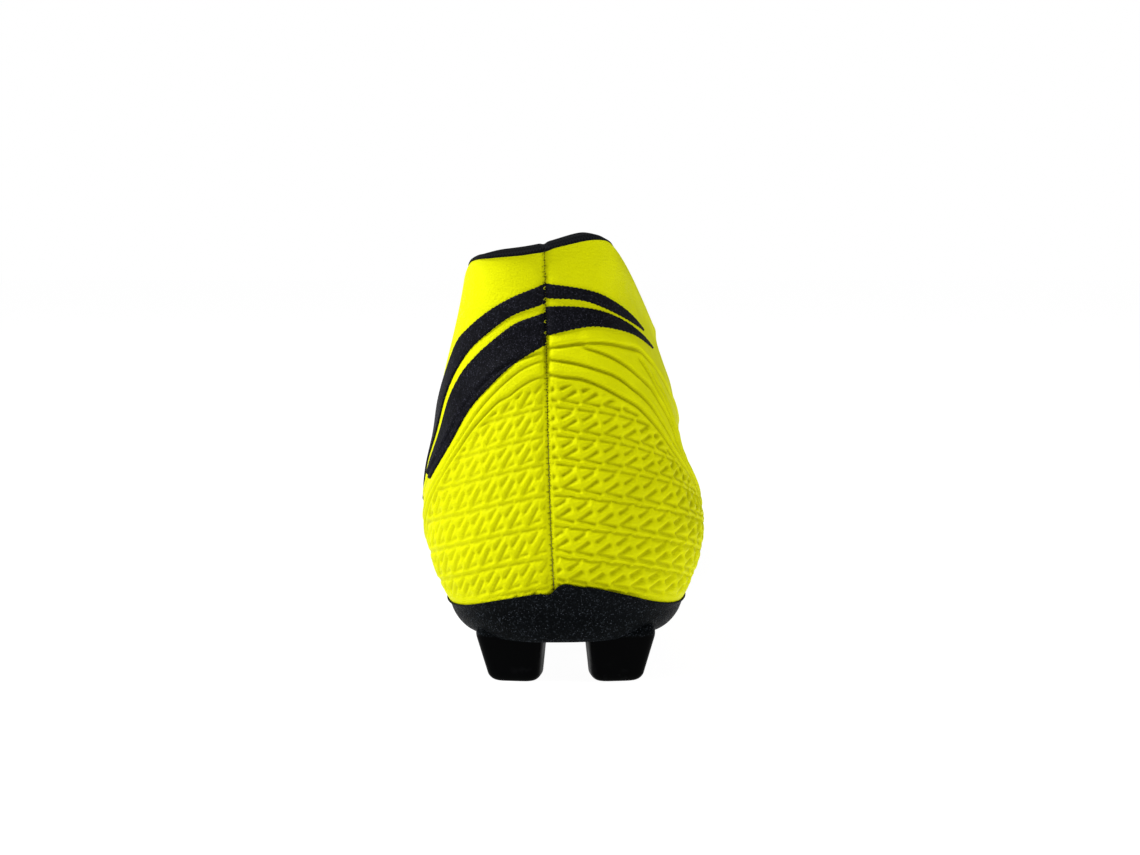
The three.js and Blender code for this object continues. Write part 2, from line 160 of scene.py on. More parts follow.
def smoothstep(low_edge, high_edge, value):
    x = np.clip((value - low_edge) / (high_edge - low_edge), 0, 1)
    return x * x * (3 - 2 * x)


def window(start, full, last, end, value):
    """0 outside start and end, 1 from full to last."""
    return smoothstep(start, full, value) * (1 - smoothstep(last, end, value))


def side_normal(station, height):
    along = skin(station + 0.01, height) - skin(station - 0.01, height)
    up = skin(station, height + 0.002) - skin(station, height - 0.002)
    return unit(np.cross(along, up))


def skin_normal(station, height):
    """Outward normal. Over the instep ridge the two sides' normals run into one."""
    station, height = floats(station, height)
    normal = side_normal(station, height)
    other = side_normal(-station, height)
    share = smoothstep(6.5, 7.5, np.abs(station)) * smoothstep(0.8, 1.0, height) / 2
    return unit(normal * (1 - share[..., None]) + other * share[..., None])


# How much fuller the finished heel is than the plain surface, in millimetres, as [height,
# amount]: on each side, and further forward in the hollow over the medial heel bulge.
LATERAL_SWELL = [
    (0, 0.4), (0.1, 1.2), (0.2, 1.3), (0.3, 1.05), (0.4, 0.5), (0.5, -0.4), (0.6, -0.15), (0.7, 0)]
MEDIAL_SWELL = [
    (0, 0.3), (0.1, 0.7), (0.2, 1.1), (0.3, 1.0), (0.37, 0.2), (0.43, -0.9), (0.5, -1.5), (0.6, -0.6),
    (0.67, 0.1), (0.75, 0), (0.86, 0.15), (0.94, 0.9), (0.98, 0.6), (1, 0.3)]
MEDIAL_HOLLOW = [
    (0.25, 0), (0.29, -0.8), (0.32, -1.3), (0.36, -1.6), (0.4, -1.5), (0.44, -1.35), (0.476, -1.1),
    (0.505, -0.4), (0.54, 0)]


def swell(station, height):
    s = np.abs(station)
    side = smoothstep(0.9, 2.2, s)
    medial = curve(MEDIAL_SWELL, height) * side + curve(MEDIAL_HOLLOW, height) * smoothstep(1.7, 2.7, s)
    return np.where(station > 0, medial, curve(LATERAL_SWELL, height) * side) * (1 - smoothstep(4.5, 6.5, s))


def lifted(station, height, offset):
    """Points at a distance outside the skin."""
    total = np.asarray(offset, float) + swell(station, height)
    return skin(station, height) + skin_normal(station, height) * total[..., None]


def at_station(values, station):
    """A value given at the 14 stations, smoothed as the skin is."""
    ring = np.array(values + values[-2:0:-1], float)
    first = np.floor(station).astype(int)
    weights = spline_weights(station - first)
    return sum(weights[k] * ring[(first + k - 1) % len(ring)] for k in range(4))


def tuck(station):
    """1 where the skin rolls over the collar's rim and hides the binding, 0 round the heel."""
    return np.where(station > 0, smoothstep(1.3, 2.5, station), smoothstep(1.7, 3.0, -station))


def binding_drop(station):
    """How far the binding reaches down the outside, in millimetres."""
    return 1.15 + 0.35 * np.exp(-(station / 0.15) ** 2) + 0.3 * np.exp(-((station - 0.9) / 0.5) ** 2)


def under_topline(station, distance):
    step = 0.004
    rise = size(skin(station, 1.0) - skin(station, 1 - step)) / step
    return 1 - distance / rise


def curve(rows, x):
    """A smooth curve through [x, y] points sorted by x, level beyond its ends."""
    xs, ys = (np.array(values, float) for values in zip(*rows))
    slopes = np.gradient(ys, xs)
    i = np.clip(np.searchsorted(xs, x) - 1, 0, len(xs) - 2)
    step = xs[i + 1] - xs[i]
    f = np.clip((x - xs[i]) / step, 0, 1)
    return ((2 * f ** 3 - 3 * f ** 2 + 1) * ys[i] + (3 * f ** 2 - 2 * f ** 3) * ys[i + 1]
            + step * ((f ** 3 - 2 * f ** 2 + f) * slopes[i] + (f ** 3 - f ** 2) * slopes[i + 1]))


def throat_edge(station):
    return curve(THROAT_EDGE, np.abs(station))


def skin_edge(station):
    """Upper edge of the skin: under the binding round the collar, then down the throat."""
    share = smoothstep(COLLAR_END, 6, np.abs(station))
    collar = under_topline(station, 0.5 * binding_drop(station) * (1 - tuck(station)) + 0.15)
    return between(collar, throat_edge(station), share)


TABLE_STATIONS = np.linspace(-TOE, TOE, 1041)
TABLE_HEIGHTS = np.linspace(0, 1, 26)


def seam_distance_table():
    points = skin(TABLE_STATIONS[:, None], TABLE_HEIGHTS[None, :])
    steps = size(np.diff(points, axis=0))
    total = np.concatenate([np.zeros((1, len(TABLE_HEIGHTS))), np.cumsum(steps, axis=0)])
    return total - total[len(TABLE_STATIONS) // 2]


SEAM_DISTANCE = seam_distance_table()


def seam_distance(station, height):
    """Millimetres from the heel seam along the skin, negative on the lateral side."""
    station, height = floats(station, height)
    columns, rows = len(TABLE_STATIONS) - 1, len(TABLE_HEIGHTS) - 1
    i = np.clip((station + TOE) / (2 * TOE) * columns, 0, columns - 0.001)
    j = np.clip(height * rows, 0, rows - 0.001)
    a, b = i.astype(int), j.astype(int)
    t = SEAM_DISTANCE
    return between(between(t[a, b], t[a + 1, b], i - a), between(t[a, b + 1], t[a + 1, b + 1], i - a), j - b)


# ---- Moulded relief of the skin ----

SEAM_LENGTH = 88.0
ROW_PITCH = 7.1
# Heights at the heel seam where the grip's rows start, from the top row down.
ROW_TOPS = [0.725, 0.65, 0.575, 0.501, 0.427, 0.344, 0.259, 0.171, 0.085, -0.005]
GROOVE_DEPTH = 0.7
GROOVE_HALF_WIDTH = 0.7

# One side's grip: depth of its grooves against GROOVE_DEPTH, column pitch, strokes of a cell
# from [x, y down] to [x, y down], how far its rows hang below their height at the seam, and
# where each row's first cell starts.
GripSide = namedtuple("GripSide", "depth pitch strokes drop starts")
MEDIAL_GRIP = GripSide(
    1.15, 5.3,
    [((0, 0), (3.6, 0.1)), ((3.1, 1), (1, 2.4)), ((4.1, 2.9), (1.2, 5)), ((1.6, 5.3), (4.9, 5.6))],
    [(0, 0), (0.5, 0.013), (1, 0.028), (1.5, 0.048), (2, 0.071), (2.2, 0.081), (3, 0.12), (5, 0.2),
     (13, 0.3)],
    [2.6, 2.6, 2.6, 2.6, 2.4, 0.6, -0.3, -2.3, -3.2])
LATERAL_GRIP = GripSide(
    0.75, 4.6,
    [((0, 0), (3.6, -0.2)), ((2.6, 0.7), (1, 2.6)), ((3.9, 2.4), (1.9, 5.5)), ((2.2, 5.5), (4.3, 5.1))],
    [(0, 0.004), (0.4, 0.019), (0.8, 0.034), (1.2, 0.052), (1.6, 0.069), (2, 0.085), (3, 0.12), (5, 0.2),
     (13, 0.3)],
    [-8.3, -8.3, -8.3, -8.5, -8.1, -7.1, -5.9, -3.8, -2.6])

# Lower edges of the overlapping wraps, [station from the seam, height], medial then lateral.
MEDIAL_WRAPS = [
    [(0, 0.723), (0.66, 0.728), (1.37, 0.718), (1.89, 0.705), (2.3, 0.66), (3, 0.58), (4, 0.5),
     (5.2, 0.45)],
    [(2.03, 0.638), (2.22, 0.606), (2.35, 0.568), (2.47, 0.53), (2.8, 0.48), (3.3, 0.44), (4, 0.42),
     (5.4, 0.4)],
    [(1.69, 0.7), (1.85, 0.66), (2.02, 0.612), (2.17, 0.579), (2.32, 0.54), (2.5, 0.49), (2.9, 0.43),
     (3.4, 0.38), (5.5, 0.35)],
    [(0.56, 0.72), (0.95, 0.7), (1.35, 0.67), (1.69, 0.634), (1.85, 0.616), (2.02, 0.582), (2.17, 0.552),
     (2.32, 0.514), (2.42, 0.478), (2.8, 0.4), (3.3, 0.33), (4, 0.29), (5.5, 0.27)],
    [(0, 0.695), (0.4, 0.682), (0.8, 0.661), (1.2, 0.634), (1.37, 0.614), (1.54, 0.596), (1.72, 0.572),
     (1.88, 0.542), (2.06, 0.508), (2.22, 0.476), (2.4, 0.436), (2.8, 0.37), (3.3, 0.3), (4.2, 0.25),
     (5.5, 0.24)],
    [(0, 0.657), (0.27, 0.647), (0.53, 0.64), (0.82, 0.62), (1.13, 0.592), (1.47, 0.562), (1.63, 0.54),
     (1.8, 0.514), (1.97, 0.482), (2.17, 0.446), (2.45, 0.402), (2.77, 0.36), (3.3, 0.28), (4, 0.21),
     (5.5, 0.19)],
]
LATERAL_WRAPS = [
    [(0, 0.72), (0.33, 0.706), (0.51, 0.698), (0.7, 0.686), (0.88, 0.668), (1.08, 0.646), (1.26, 0.62),
     (1.44, 0.59), (1.75, 0.52), (2.1, 0.43), (2.4, 0.37), (2.9, 0.31), (3.6, 0.27), (5.5, 0.26)],
    [(0, 0.698), (0.23, 0.686), (0.42, 0.674), (0.6, 0.656), (0.78, 0.634), (0.92, 0.614), (1.12, 0.582),
     (1.3, 0.546), (1.47, 0.506), (1.65, 0.46), (1.9, 0.39), (2.2, 0.33), (2.6, 0.26), (3.1, 0.22),
     (5.5, 0.2)],
    [(0, 0.656), (0.33, 0.638), (0.5, 0.622), (0.67, 0.602), (0.85, 0.588), (1.02, 0.564), (1.19, 0.536),
     (1.36, 0.504), (1.53, 0.464), (1.73, 0.416), (2, 0.35), (2.3, 0.28), (2.7, 0.2), (3.2, 0.15),
     (5.5, 0.12)],
]
# Wraps over the forefoot run slantwise from the feather edge to the throat.
VAMP_WRAPS = [[(start, 0.1), (start + 2.2, 0.45), (start + 3.6, 0.8)] for start in (4.8, 6.2, 7.6, 9.0)]
WRAP_LIP = 0.8
WRAP_FADE = 0.15


def wrap_lip(station, height, edge, sharp=1.0):
    """Two swollen strips that meet along one wrap's lower edge, with a narrow valley between."""
    start, end = edge[0][0], edge[-1][0]
    above = (height - curve(edge, station)) * SEAM_LENGTH
    far = np.abs(above)
    strip = np.where(above > 0, WRAP_LIP * np.exp(-far / 2.6), 0.55 * WRAP_LIP * np.exp(-far / 1.5))
    valley = 0.55 * sharp * np.exp(-(above / 0.45) ** 2)
    lip = (0.7 + 0.7 * sharp) * strip * (1 - np.exp(-(far / 0.7) ** 2)) - valley
    if start > 0:
        lip = lip * smoothstep(start - 0.01, start + WRAP_FADE, station)
    return lip * (1 - smoothstep(end - 0.4, end, station))


def stroke_distance(x, y, side):
    """Distance from the nearest stroke of the repeating grip cell."""
    nearest = np.full(np.shape(x), 9.0)
    for (x0, y0), (x1, y1) in side.strokes:
        dx, dy = x1 - x0, y1 - y0
        for shift_x in (-side.pitch, 0, side.pitch):
            for shift_y in (-ROW_PITCH, 0, ROW_PITCH):
                px, py = x - x0 - shift_x, y - y0 - shift_y
                along = np.clip((px * dx + py * dy) / (dx * dx + dy * dy), 0, 1)
                nearest = np.minimum(nearest, np.hypot(px - along * dx, py - along * dy))
    return nearest


def grip(station, height, side):
    """Depth of the pressed zigzag grip, from 0 to 1, before it fades at the wraps."""
    across = seam_distance(station, height)
    level = height + curve(side.drop, np.abs(station))
    row = np.interp(-level, [-top for top in ROW_TOPS], np.arange(len(ROW_TOPS)))
    whole = np.clip(np.floor(row).astype(int), 0, len(side.starts) - 1)
    x = np.mod(across - np.array(side.starts)[whole], side.pitch)
    groove = np.exp(-(stroke_distance(x, (row - whole) * ROW_PITCH, side) / GROOVE_HALF_WIDTH) ** 2)
    return side.depth * groove * smoothstep(0.6, 1.5, np.abs(across)) * smoothstep(0.0, 0.05, height - 0.02)


def seam_wander(up):
    """How far the closed joint of the two quarters strays sideways up the heel."""
    return 0.14 * np.sin(up * 4.83) + 0.09 * np.sin(up * 1.9 + 1) + 0.06 * np.sin(up * 8.7)


def relief(station, height):
    """Height of the moulded surface over the plain skin, in millimetres."""
    station, height = floats(station, height)
    s = np.abs(station)
    total = np.zeros(station.shape)
    medial, lateral = (grip(station, height, side) for side in (MEDIAL_GRIP, LATERAL_GRIP))
    pressed = np.where(station >= 0, medial, lateral)
    for wraps, here, sharp in ((MEDIAL_WRAPS, station >= 0, 1.0), (LATERAL_WRAPS, station < 0, 0.35)):
        for edge in wraps:
            total += np.where(here & (s < QUARTER_END), wrap_lip(s, height, edge, sharp), 0)
        below = (curve(wraps[-1], s) - height) * SEAM_LENGTH
        total -= np.where(here & (s < QUARTER_END), GROOVE_DEPTH * smoothstep(0.8, 2.2, below) * pressed, 0)
    for edge in VAMP_WRAPS:
        total += np.where(s >= QUARTER_END, wrap_lip(s, height, edge), 0)
    forefoot = smoothstep(QUARTER_END, 6.4, s) * smoothstep(0.62, 0.5, height)
    total -= 0.7 * GROOVE_DEPTH * forefoot * pressed
    across = seam_distance(station, height)
    up = height * SEAM_LENGTH
    off_crease = across - seam_wander(up)
    seam_valley = 0.8 * np.exp(-(across / 1.2) ** 2) + 0.25 * np.exp(-(off_crease / 0.3) ** 2)
    soft = 0.12 * np.sin(station * 2.3 + height * 5) * np.sin(height * 7 + station)
    return total * smoothstep(0.1, 1.3, np.abs(across)) - seam_valley + soft * smoothstep(0.6, 0.8, height)


def blurred(values, reach):
    """A grid of values averaged over a square of neighbours."""
    for axis in (0, 1):
        padding = [(reach, reach) if k == axis else (0, 0) for k in range(2)]
        total = np.cumsum(np.pad(values, padding, "edge"), axis=axis)
        count = values.shape[axis]
        ends = np.take(total, np.arange(2 * reach, 2 * reach + count), axis=axis)
        starts = np.take(total, np.arange(0, count), axis=axis)
        values = (ends - starts) / (2 * reach)
    return values


def crease(offset, reach):
    """How deep each point of a relief grid lies under its surroundings, from 0 to 1: the mask of the painted
    crease shade.
    """
    return np.clip((blurred(blurred(offset, reach), reach) - offset) / 0.5, 0, 1)


# ---- Mesh helpers ----

def grid_faces(columns, rows, start=0):
    i, j = np.meshgrid(np.arange(columns - 1), np.arange(rows - 1), indexing="ij")
    a = (start + i * rows + j).ravel()
    return np.stack([a, a + rows, a + rows + 1, a + 1], 1)


def mesh_object(name, points, faces, uv=None, weld=0.0, creases=None):
    """A smooth-shaded object from points in design millimetres."""
    mesh = bpy.data.meshes.new(name)
    mesh.from_pydata(to_row(points).tolist(), [], [list(map(int, face)) for face in faces])
    if uv is not None:
        layer = mesh.uv_layers.new(name="surface")
        index = np.zeros(len(mesh.loops), int)
        mesh.loops.foreach_get("vertex_index", index)
        layer.data.foreach_set("uv", np.asarray(uv, float)[index].ravel())
    # Mask of the painted shade in the skin's grooves and creases, read by the upper's material.
    if creases is not None:
        depth = mesh.attributes.new("crease", "FLOAT", "POINT")
        depth.data.foreach_set("value", np.asarray(creases, np.float32))
    mesh.polygons.foreach_set("use_smooth", np.ones(len(mesh.polygons), bool))
    piece = bpy.data.objects.new(name, mesh)
    bpy.context.scene.collection.objects.link(piece)
    if weld:
        made = bmesh.new()
        made.from_mesh(mesh)
        bmesh.ops.remove_doubles(made, verts=made.verts, dist=weld / 1000)
        bmesh.ops.recalc_face_normals(made, faces=made.faces)
        made.to_mesh(mesh)
        made.free()
    return piece


class Patchwork:
    """Collects grids of points into one mesh; grids that meet are welded at the end."""

    def __init__(self):
        self.points, self.faces, self.uv, self.creases, self.count = [], [], [], [], 0

    def grid(self, points, uv=None, flip=False, creases=None):
        columns, rows = points.shape[:2]
        faces = grid_faces(columns, rows, self.count)
        self.faces.append(faces[:, ::-1] if flip else faces)
        self.points.append(points.reshape(-1, 3))
        self.uv.append(np.zeros((columns * rows, 2)) if uv is None else uv.reshape(-1, 2))
        self.creases.append(np.zeros(columns * rows) if creases is None else creases.ravel())
        self.count += columns * rows

    def piece(self, name, weld=0.004):
        return mesh_object(name, np.concatenate(self.points), np.concatenate(self.faces),
                           np.concatenate(self.uv), weld, np.concatenate(self.creases))


def surface_uv(station, height):
    """Texture place in millimetres: along the skin from the heel seam, and up it."""
    return np.stack([seam_distance(station, height), height * SEAM_LENGTH], -1)


def add_skin(work, station, height, offset, flip=False, creases=None):
    """A grid of the skin at an offset, given as arrays that broadcast to one shape."""
    station, height, offset = np.broadcast_arrays(station, height, offset)
    work.grid(lifted(station, height, offset), surface_uv(station, height), flip, creases)


def stations_by_length(start, end, step, height=0.5):
    """Stations from start to end, both on one side, about one step of millimetres apart."""
    fine = np.linspace(start, end, 400)
    length = np.abs(seam_distance(fine, np.full(400, height)))
    length = length - length[0]
    count = max(2, int(abs(length[-1]) / step) + 1)
    return np.interp(np.linspace(0, length[-1], count), length, fine)


def both_sides(end, step, height):
    """A column of stations over both sides, from -end to end."""
    half = stations_by_length(0, end, step, height)
    return np.concatenate([-half[:0:-1], half])[:, None]


def rounded_edge(distance, radius):
    """How far a surface drops at a distance from its rounded edge."""
    x = np.clip(1 - np.asarray(distance) / radius, 0, 1)
    return radius * (1 - np.sqrt(1 - x * x))


def threads(name, paths, radius, sides=8):
    """Round threads with closed ends, one along each (path, normals) pair."""
    points, faces = [], []
    for path, normal in paths:
        tangent = unit(np.gradient(path, axis=0))
        across = unit(np.cross(tangent, normal))
        out = np.cross(across, tangent)
        angle = np.linspace(0, 2 * math.pi, sides, endpoint=False)[None, :, None]
        ring = across[:, None] * np.cos(angle) + out[:, None] * np.sin(angle)
        start = sum(len(p) for p in points)
        points.append((path[:, None] + radius * ring).reshape(-1, 3))
        last = start + (len(path) - 1) * sides
        for i in range(start, last, sides):
            around = [(i + k, i + (k + 1) % sides) for k in range(sides)]
            faces += [[a, b, b + sides, a + sides] for a, b in around]
        faces.append([start + k for k in reversed(range(sides))])
        faces.append([last + k for k in range(sides)])
    return mesh_object(name, np.concatenate(points), faces, weld=0.0001)


STITCH_PITCH = 2.6
STITCH_LENGTH = 0.72 * STITCH_PITCH
STITCH_RADIUS = 0.24


def stitch_row(name, station, height):
    """Separate short stitches along a line of the skin."""
    line = skin(station, height)
    length = np.concatenate([[0], np.cumsum(size(np.diff(line, axis=0)))])
    paths = []
    for start in np.arange(0, length[-1] - STITCH_PITCH, STITCH_PITCH):
        at = start + STITCH_LENGTH * np.linspace(0, 1, 7)
        s, h = np.interp(at, length, station), np.interp(at, length, height)
        bow = 0.1 - 0.35 * np.abs(np.linspace(-1, 1, 7)) ** 3
        paths.append((lifted(s, h, relief(s, h) + bow), skin_normal(s, h)))
    return threads(name, paths, STITCH_RADIUS, 6)


def finished(piece, body, slot, material, *nodes):
    """Gives a piece its material and its body, and hides the CAD nodes that it stands for."""
    piece.data.materials.append(material)
    if body:
        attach(piece, body)
    if nodes:
        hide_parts(*nodes)
    return piece


# ---- Upper ----

QUARTER_ROWS = 262
VAMP_ROWS = 150
QUARTER_FINE_END = 2.9
SEAM_GAP = 0.012
SEAM_ROUNDING = 0.5
EDGE_ROUNDING = 0.4


def add_edge_wall(work, station, height, offset, flip=False):
    """Turns a skin's cut edge inwards by its thickness."""
    depth = np.linspace(0, SKIN_THICKNESS, 3)
    station, height, offset = (np.broadcast_to(a, np.shape(station)) for a in (station, height, offset))
    add_skin(work, station[:, None], height[:, None], offset[:, None] - depth[None, :], flip)


def moulded_skin(work, station, rows, roll, reach):
    """One side's skin up to its edge, rounded over there and at the side seam, with its painted crease shade
    mask.
    """
    side = np.sign(station[0, 0])
    edge = skin_edge(station)
    height = edge * np.linspace(0.01, 1, rows)[None, :]
    to_seam = np.abs(seam_distance(station, height) - seam_distance(side * QUARTER_END, height))
    to_top = np.where(np.abs(station) < THROAT_END, (edge - height) * SEAM_LENGTH, 9)
    moulded = relief(station, height)
    offset = moulded - rounded_edge(to_seam, SEAM_ROUNDING) - rounded_edge(to_top, roll)
    add_skin(work, station, height, offset, side < 0, crease(moulded, reach))
    return height, offset


def quarter(side):
    """Rear half of the skin on one side, from the heel seam to the side seam."""
    near = stations_by_length(0.004, QUARTER_FINE_END, 0.34)
    far = stations_by_length(QUARTER_FINE_END, QUARTER_END - SEAM_GAP, 0.62)[1:]
    station = side * np.concatenate([near, far])[:, None]
    work = Patchwork()
    height, offset = moulded_skin(work, station, QUARTER_ROWS, EDGE_ROUNDING + 1.2 * tuck(station), 4)
    flip = side < 0
    add_edge_wall(work, station[:, 0], height[:, -1], offset[:, -1], flip)
    add_edge_wall(work, np.full(QUARTER_ROWS, station[-1, 0]), height[-1], offset[-1], not flip)
    name = "medial" if side > 0 else "lateral"
    return work.piece(f"skin_quarter_{name}")


def vamp():
    """Front half of the skin: both sides, joined over the toes in front of the throat."""
    behind = stations_by_length(QUARTER_END + SEAM_GAP, THROAT_END, 0.6)
    ahead = stations_by_length(THROAT_END, TOE, 0.6)
    around = np.concatenate([behind, ahead[1:]])
    work = Patchwork()
    for side in (1, -1):
        station = side * around[:, None]
        height, offset = moulded_skin(work, station, VAMP_ROWS, EDGE_ROUNDING, 2)
        count = len(behind)
        add_edge_wall(work, station[:count, 0], height[:count, -1], offset[:count, -1], side < 0)
        add_edge_wall(work, np.full(VAMP_ROWS, station[0, 0]), height[0], offset[0], side < 0)
        top = np.linspace(0, 1, 12)[None, :]
        station = side * ahead[:, None]
        height = between(skin_edge(station), 1, top)
        offset = relief(station, height)
        add_skin(work, station, height, offset, side < 0)
        add_edge_wall(work, np.full(top.size, station[0, 0]), height[0], offset[0], side < 0)
    return work.piece("skin_vamp", 0.01)


# Heel bands: [station, height of lower edge, height of upper edge] outwards from the seam.
BANDS = {
    "heel_band_upper_lateral": [
        [0.002, 0.842, 0.895], [0.74, 0.812, 0.865], [1.2, 0.772, 0.836], [1.73, 0.71, 0.792],
        [2.2, 0.61, 0.745], [2.45, 0.52, 0.69], [2.9, 0.4, 0.6], [3.5, 0.25, 0.47], [4, 0.13, 0.34],
        [4.3, 0.06, 0.24], [4.75, 0.04, 0.1]],
    "heel_band_lower_lateral": [
        [0.002, 0.734, 0.819], [0.69, 0.675, 0.79], [1.05, 0.625, 0.756], [1.46, 0.555, 0.708],
        [1.8, 0.462, 0.655], [2.06, 0.4, 0.585], [2.25, 0.372, 0.5], [2.42, 0.39, 0.42]],
    "heel_band_upper_medial": [
        [0.002, 0.855, 0.895], [0.75, 0.833, 0.864], [1.18, 0.812, 0.846], [1.57, 0.796, 0.828],
        [2, 0.785, 0.81], [2.45, 0.783, 0.788]],
    "heel_band_lower_medial": [
        [0.002, 0.756, 0.834], [0.3, 0.762, 0.829], [0.75, 0.768, 0.817], [1.34, 0.76, 0.797],
        [1.91, 0.75, 0.775], [2.4, 0.742, 0.757], [2.68, 0.74, 0.744]],
}
TAPE_THICKNESS = 0.55
BAND_RIPPLE = 0.0009


def heel_band(name):
    """A welded tape on the skin with rounded edges, a slightly uneven outline and a square end."""
    rows = BANDS[name]
    side = 1 if name.endswith("medial") else -1
    s = stations_by_length(rows[0][0], rows[-1][0], 0.4, 0.7)
    low, high = (curve([(row[0], row[k]) for row in rows], s) for k in (1, 2))
    s = side * s
    low = low + BAND_RIPPLE * (np.sin(s * 61) + np.sin(s * 97 + 1))
    high = high + BAND_RIPPLE * (np.sin(s * 71 + 2) + np.sin(s * 113))
    across = np.concatenate([[0, 0.02, 0.05, 0.09], np.linspace(0.14, 0.86, 16), [0.91, 0.95, 0.98, 1]])
    height = between(low[:, None], high[:, None], across)
    station = np.broadcast_to(s[:, None], height.shape)
    to_edge = np.minimum(across, 1 - across) * size(skin(s, high) - skin(s, low))[:, None]
    length = np.abs(seam_distance(station, height))
    rounding = sum(rounded_edge(to_rim, TAPE_THICKNESS) for to_rim in (to_edge, np.abs(length - length[-1])))
    work = Patchwork()
    add_skin(work, station, height, relief(station, height) + TAPE_THICKNESS - rounding - 0.05, side < 0)
    return work.piece(name)


# Width of the throat's tape in height beside the throat, and in stations at its end.
TRIM_WIDTH = 0.07
TRIM_END_WIDTH = 0.25
TRIM_THICKNESS = 0.4


def throat_trim():
    """Welded tape along one side of the throat, across its end and back along the other."""
    s = stations_by_length(5.95, THROAT_END, 0.8, 0.8)
    corner = np.linspace(0, math.pi / 2, 10)[1:]
    across_end = np.linspace(0, 1, 14)[1:]
    edge, end = throat_edge(s), throat_edge(THROAT_END)
    ridge = between(end, 1, across_end)
    inner = np.concatenate([np.stack([s, edge], 1), np.tile([THROAT_END, end], (len(corner), 1)),
                            np.stack([np.full(len(ridge), THROAT_END), ridge], 1)])
    turn = np.stack([THROAT_END + TRIM_END_WIDTH * np.sin(corner), end - TRIM_WIDTH * np.cos(corner)], 1)
    outer = np.concatenate([np.stack([s, edge - TRIM_WIDTH], 1), turn,
                            np.stack([np.full(len(ridge), THROAT_END + TRIM_END_WIDTH), ridge], 1)])
    across = np.concatenate([[0, 0.04, 0.1], np.linspace(0.18, 0.82, 10), [0.9, 0.96, 1]])[None, :, None]
    place = between(inner[:, None], outer[:, None], across)
    drop = rounded_edge(np.minimum(across, 1 - across)[..., 0] * 5, TRIM_THICKNESS)
    at_end = inner[:, :1] >= THROAT_END
    fold = np.array([0, 0.003, 0.005, 0.005, 0.003])[None, :]
    work = Patchwork()
    for side in (1, -1):
        station, height = side * place[..., 0], place[..., 1]
        offset = relief(station, height) + TRIM_THICKNESS - drop
        add_skin(work, station, height, offset, side > 0)
        turned = offset[:, :1] - np.array([0, 0.1, 0.4, 1.0, 1.7])[None, :]
        add_skin(work, side * (inner[:, :1] - fold * at_end), inner[:, 1:] + fold * ~at_end, turned, side < 0)
    return work.piece("throat_tape")


# Section of the binding from its outer edge over the rim to its inner edge, [out, up].
BINDING_SECTION = [
    [0.02, -1.12], [0.36, -1.02], [0.48, -0.75], [0.4, -0.45], [0.12, -0.2], [-0.5, 0.0], [-1.5, 0.05],
    [-2.7, 0.02], [-3.8, -0.12], [-4.6, -0.4], [-5.15, -1.0], [-5.35, -1.9], [-5.3, -3.0], [-5.0, -3.4]]
BINDING_OUTER_STEPS = 5


def through(rows, count):
    """Both columns of a table as smooth rows of values, with the steps that they are taken at."""
    steps = np.linspace(0, len(rows) - 1, count)
    columns = [curve([(i, row[k]) for i, row in enumerate(rows)], steps) for k in (0, 1)]
    return [values[None, :] for values in (steps, *columns)]


def collar_binding():
    """Knitted binding folded over the collar's rim, with a notch at the heel seam."""
    steps, out, rise = through(BINDING_SECTION, 44)
    s = both_sides(COLLAR_END, 0.45, 1.0)
    across = seam_distance(s, 1.0)
    wobble = 0.1 * np.sin(across * 0.23) + 0.06 * np.sin(across * 0.61 + 1)
    notch = 0.45 * np.exp(-(across / 0.8) ** 2)
    rib = 0.04 * np.sin(across * 2 * math.pi / 0.9)
    outer = steps < BINDING_OUTER_STEPS
    lead = np.interp(rise, [-1.1, 0.05], [0.45, -0.45])
    tucked = tuck(np.sign(s) * np.maximum(np.abs(s) + lead, 0))
    fold = np.where(outer, binding_drop(s) * (1 - 0.85 * tuck(s)), 1.0)
    rise = rise * fold + np.where(outer, wobble, 0) - notch * (rise > -0.7) - 0.3
    offset = out + (rib - notch) * smoothstep(-4.6, -3.0, out) - 1.8 * tucked * smoothstep(-3.4, -0.4, out)
    s, height, offset = np.broadcast_arrays(s, under_topline(s, -rise), offset)
    work = Patchwork()
    add_skin(work, s, height, offset)
    for end, flip in ((0, False), (-1, True)):
        ring = lifted(s[end], height[end], offset[end])
        middle = ring.mean(0)
        work.grid(middle + (ring[:, None] - middle) * np.linspace(1, 0.02, 6)[None, :, None], None, flip)
    return work.piece("collar_binding_knit", 0.01)


FOAM_FACES = (-3.7, -1.7)
FOAM_ROWS = 44


def collar_foam():
    """A closed pad round the collar whose two faces round over into one another."""
    s = both_sides(COLLAR_END - 0.05, 1.0, 0.8)
    up = np.linspace(0, 1, FOAM_ROWS)[None, :]
    height = between(0.56, np.minimum(under_topline(s, 3.6), skin_edge(s)) - 0.01, up)
    to_rim = np.clip(np.minimum(up, 1 - up) * FOAM_ROWS / 4, 0, 1)
    crown = np.sqrt(1 - (1 - to_rim * np.clip((1 - np.abs(s) / COLLAR_END) * 14, 0, 1)) ** 2)
    inner, outer = FOAM_FACES
    middle, half_thick = (inner + outer) / 2, (outer - inner) / 2
    bulge = 0.2 * np.sin(math.pi * up) ** 0.7
    work = Patchwork()
    add_skin(work, s, height, middle + half_thick * crown)
    add_skin(work, s, height, middle - (half_thick + bulge) * crown, True)
    return work.piece("collar_foam_pad")


def lining():
    """Lining cloth, padded out over the foam and clear of the stiffener below it."""
    s = both_sides(COLLAR_END, 0.9, 0.8)
    top = np.minimum(under_topline(s, 2.9), skin_edge(s))
    height = between(0.02, top, np.linspace(0, 1, 90)[None, :])
    pad = 0.9 * window(0.5, 0.75, 0.9, 1.0, height) * np.cos(s * 0.28) ** 2
    full = np.maximum(swell(s, height), 0) * (1 - smoothstep(0.6, 0.75, height))
    work = Patchwork()
    add_skin(work, s, height, -4.3 - pad - full, True)
    return work.piece("collar_lining_cloth")


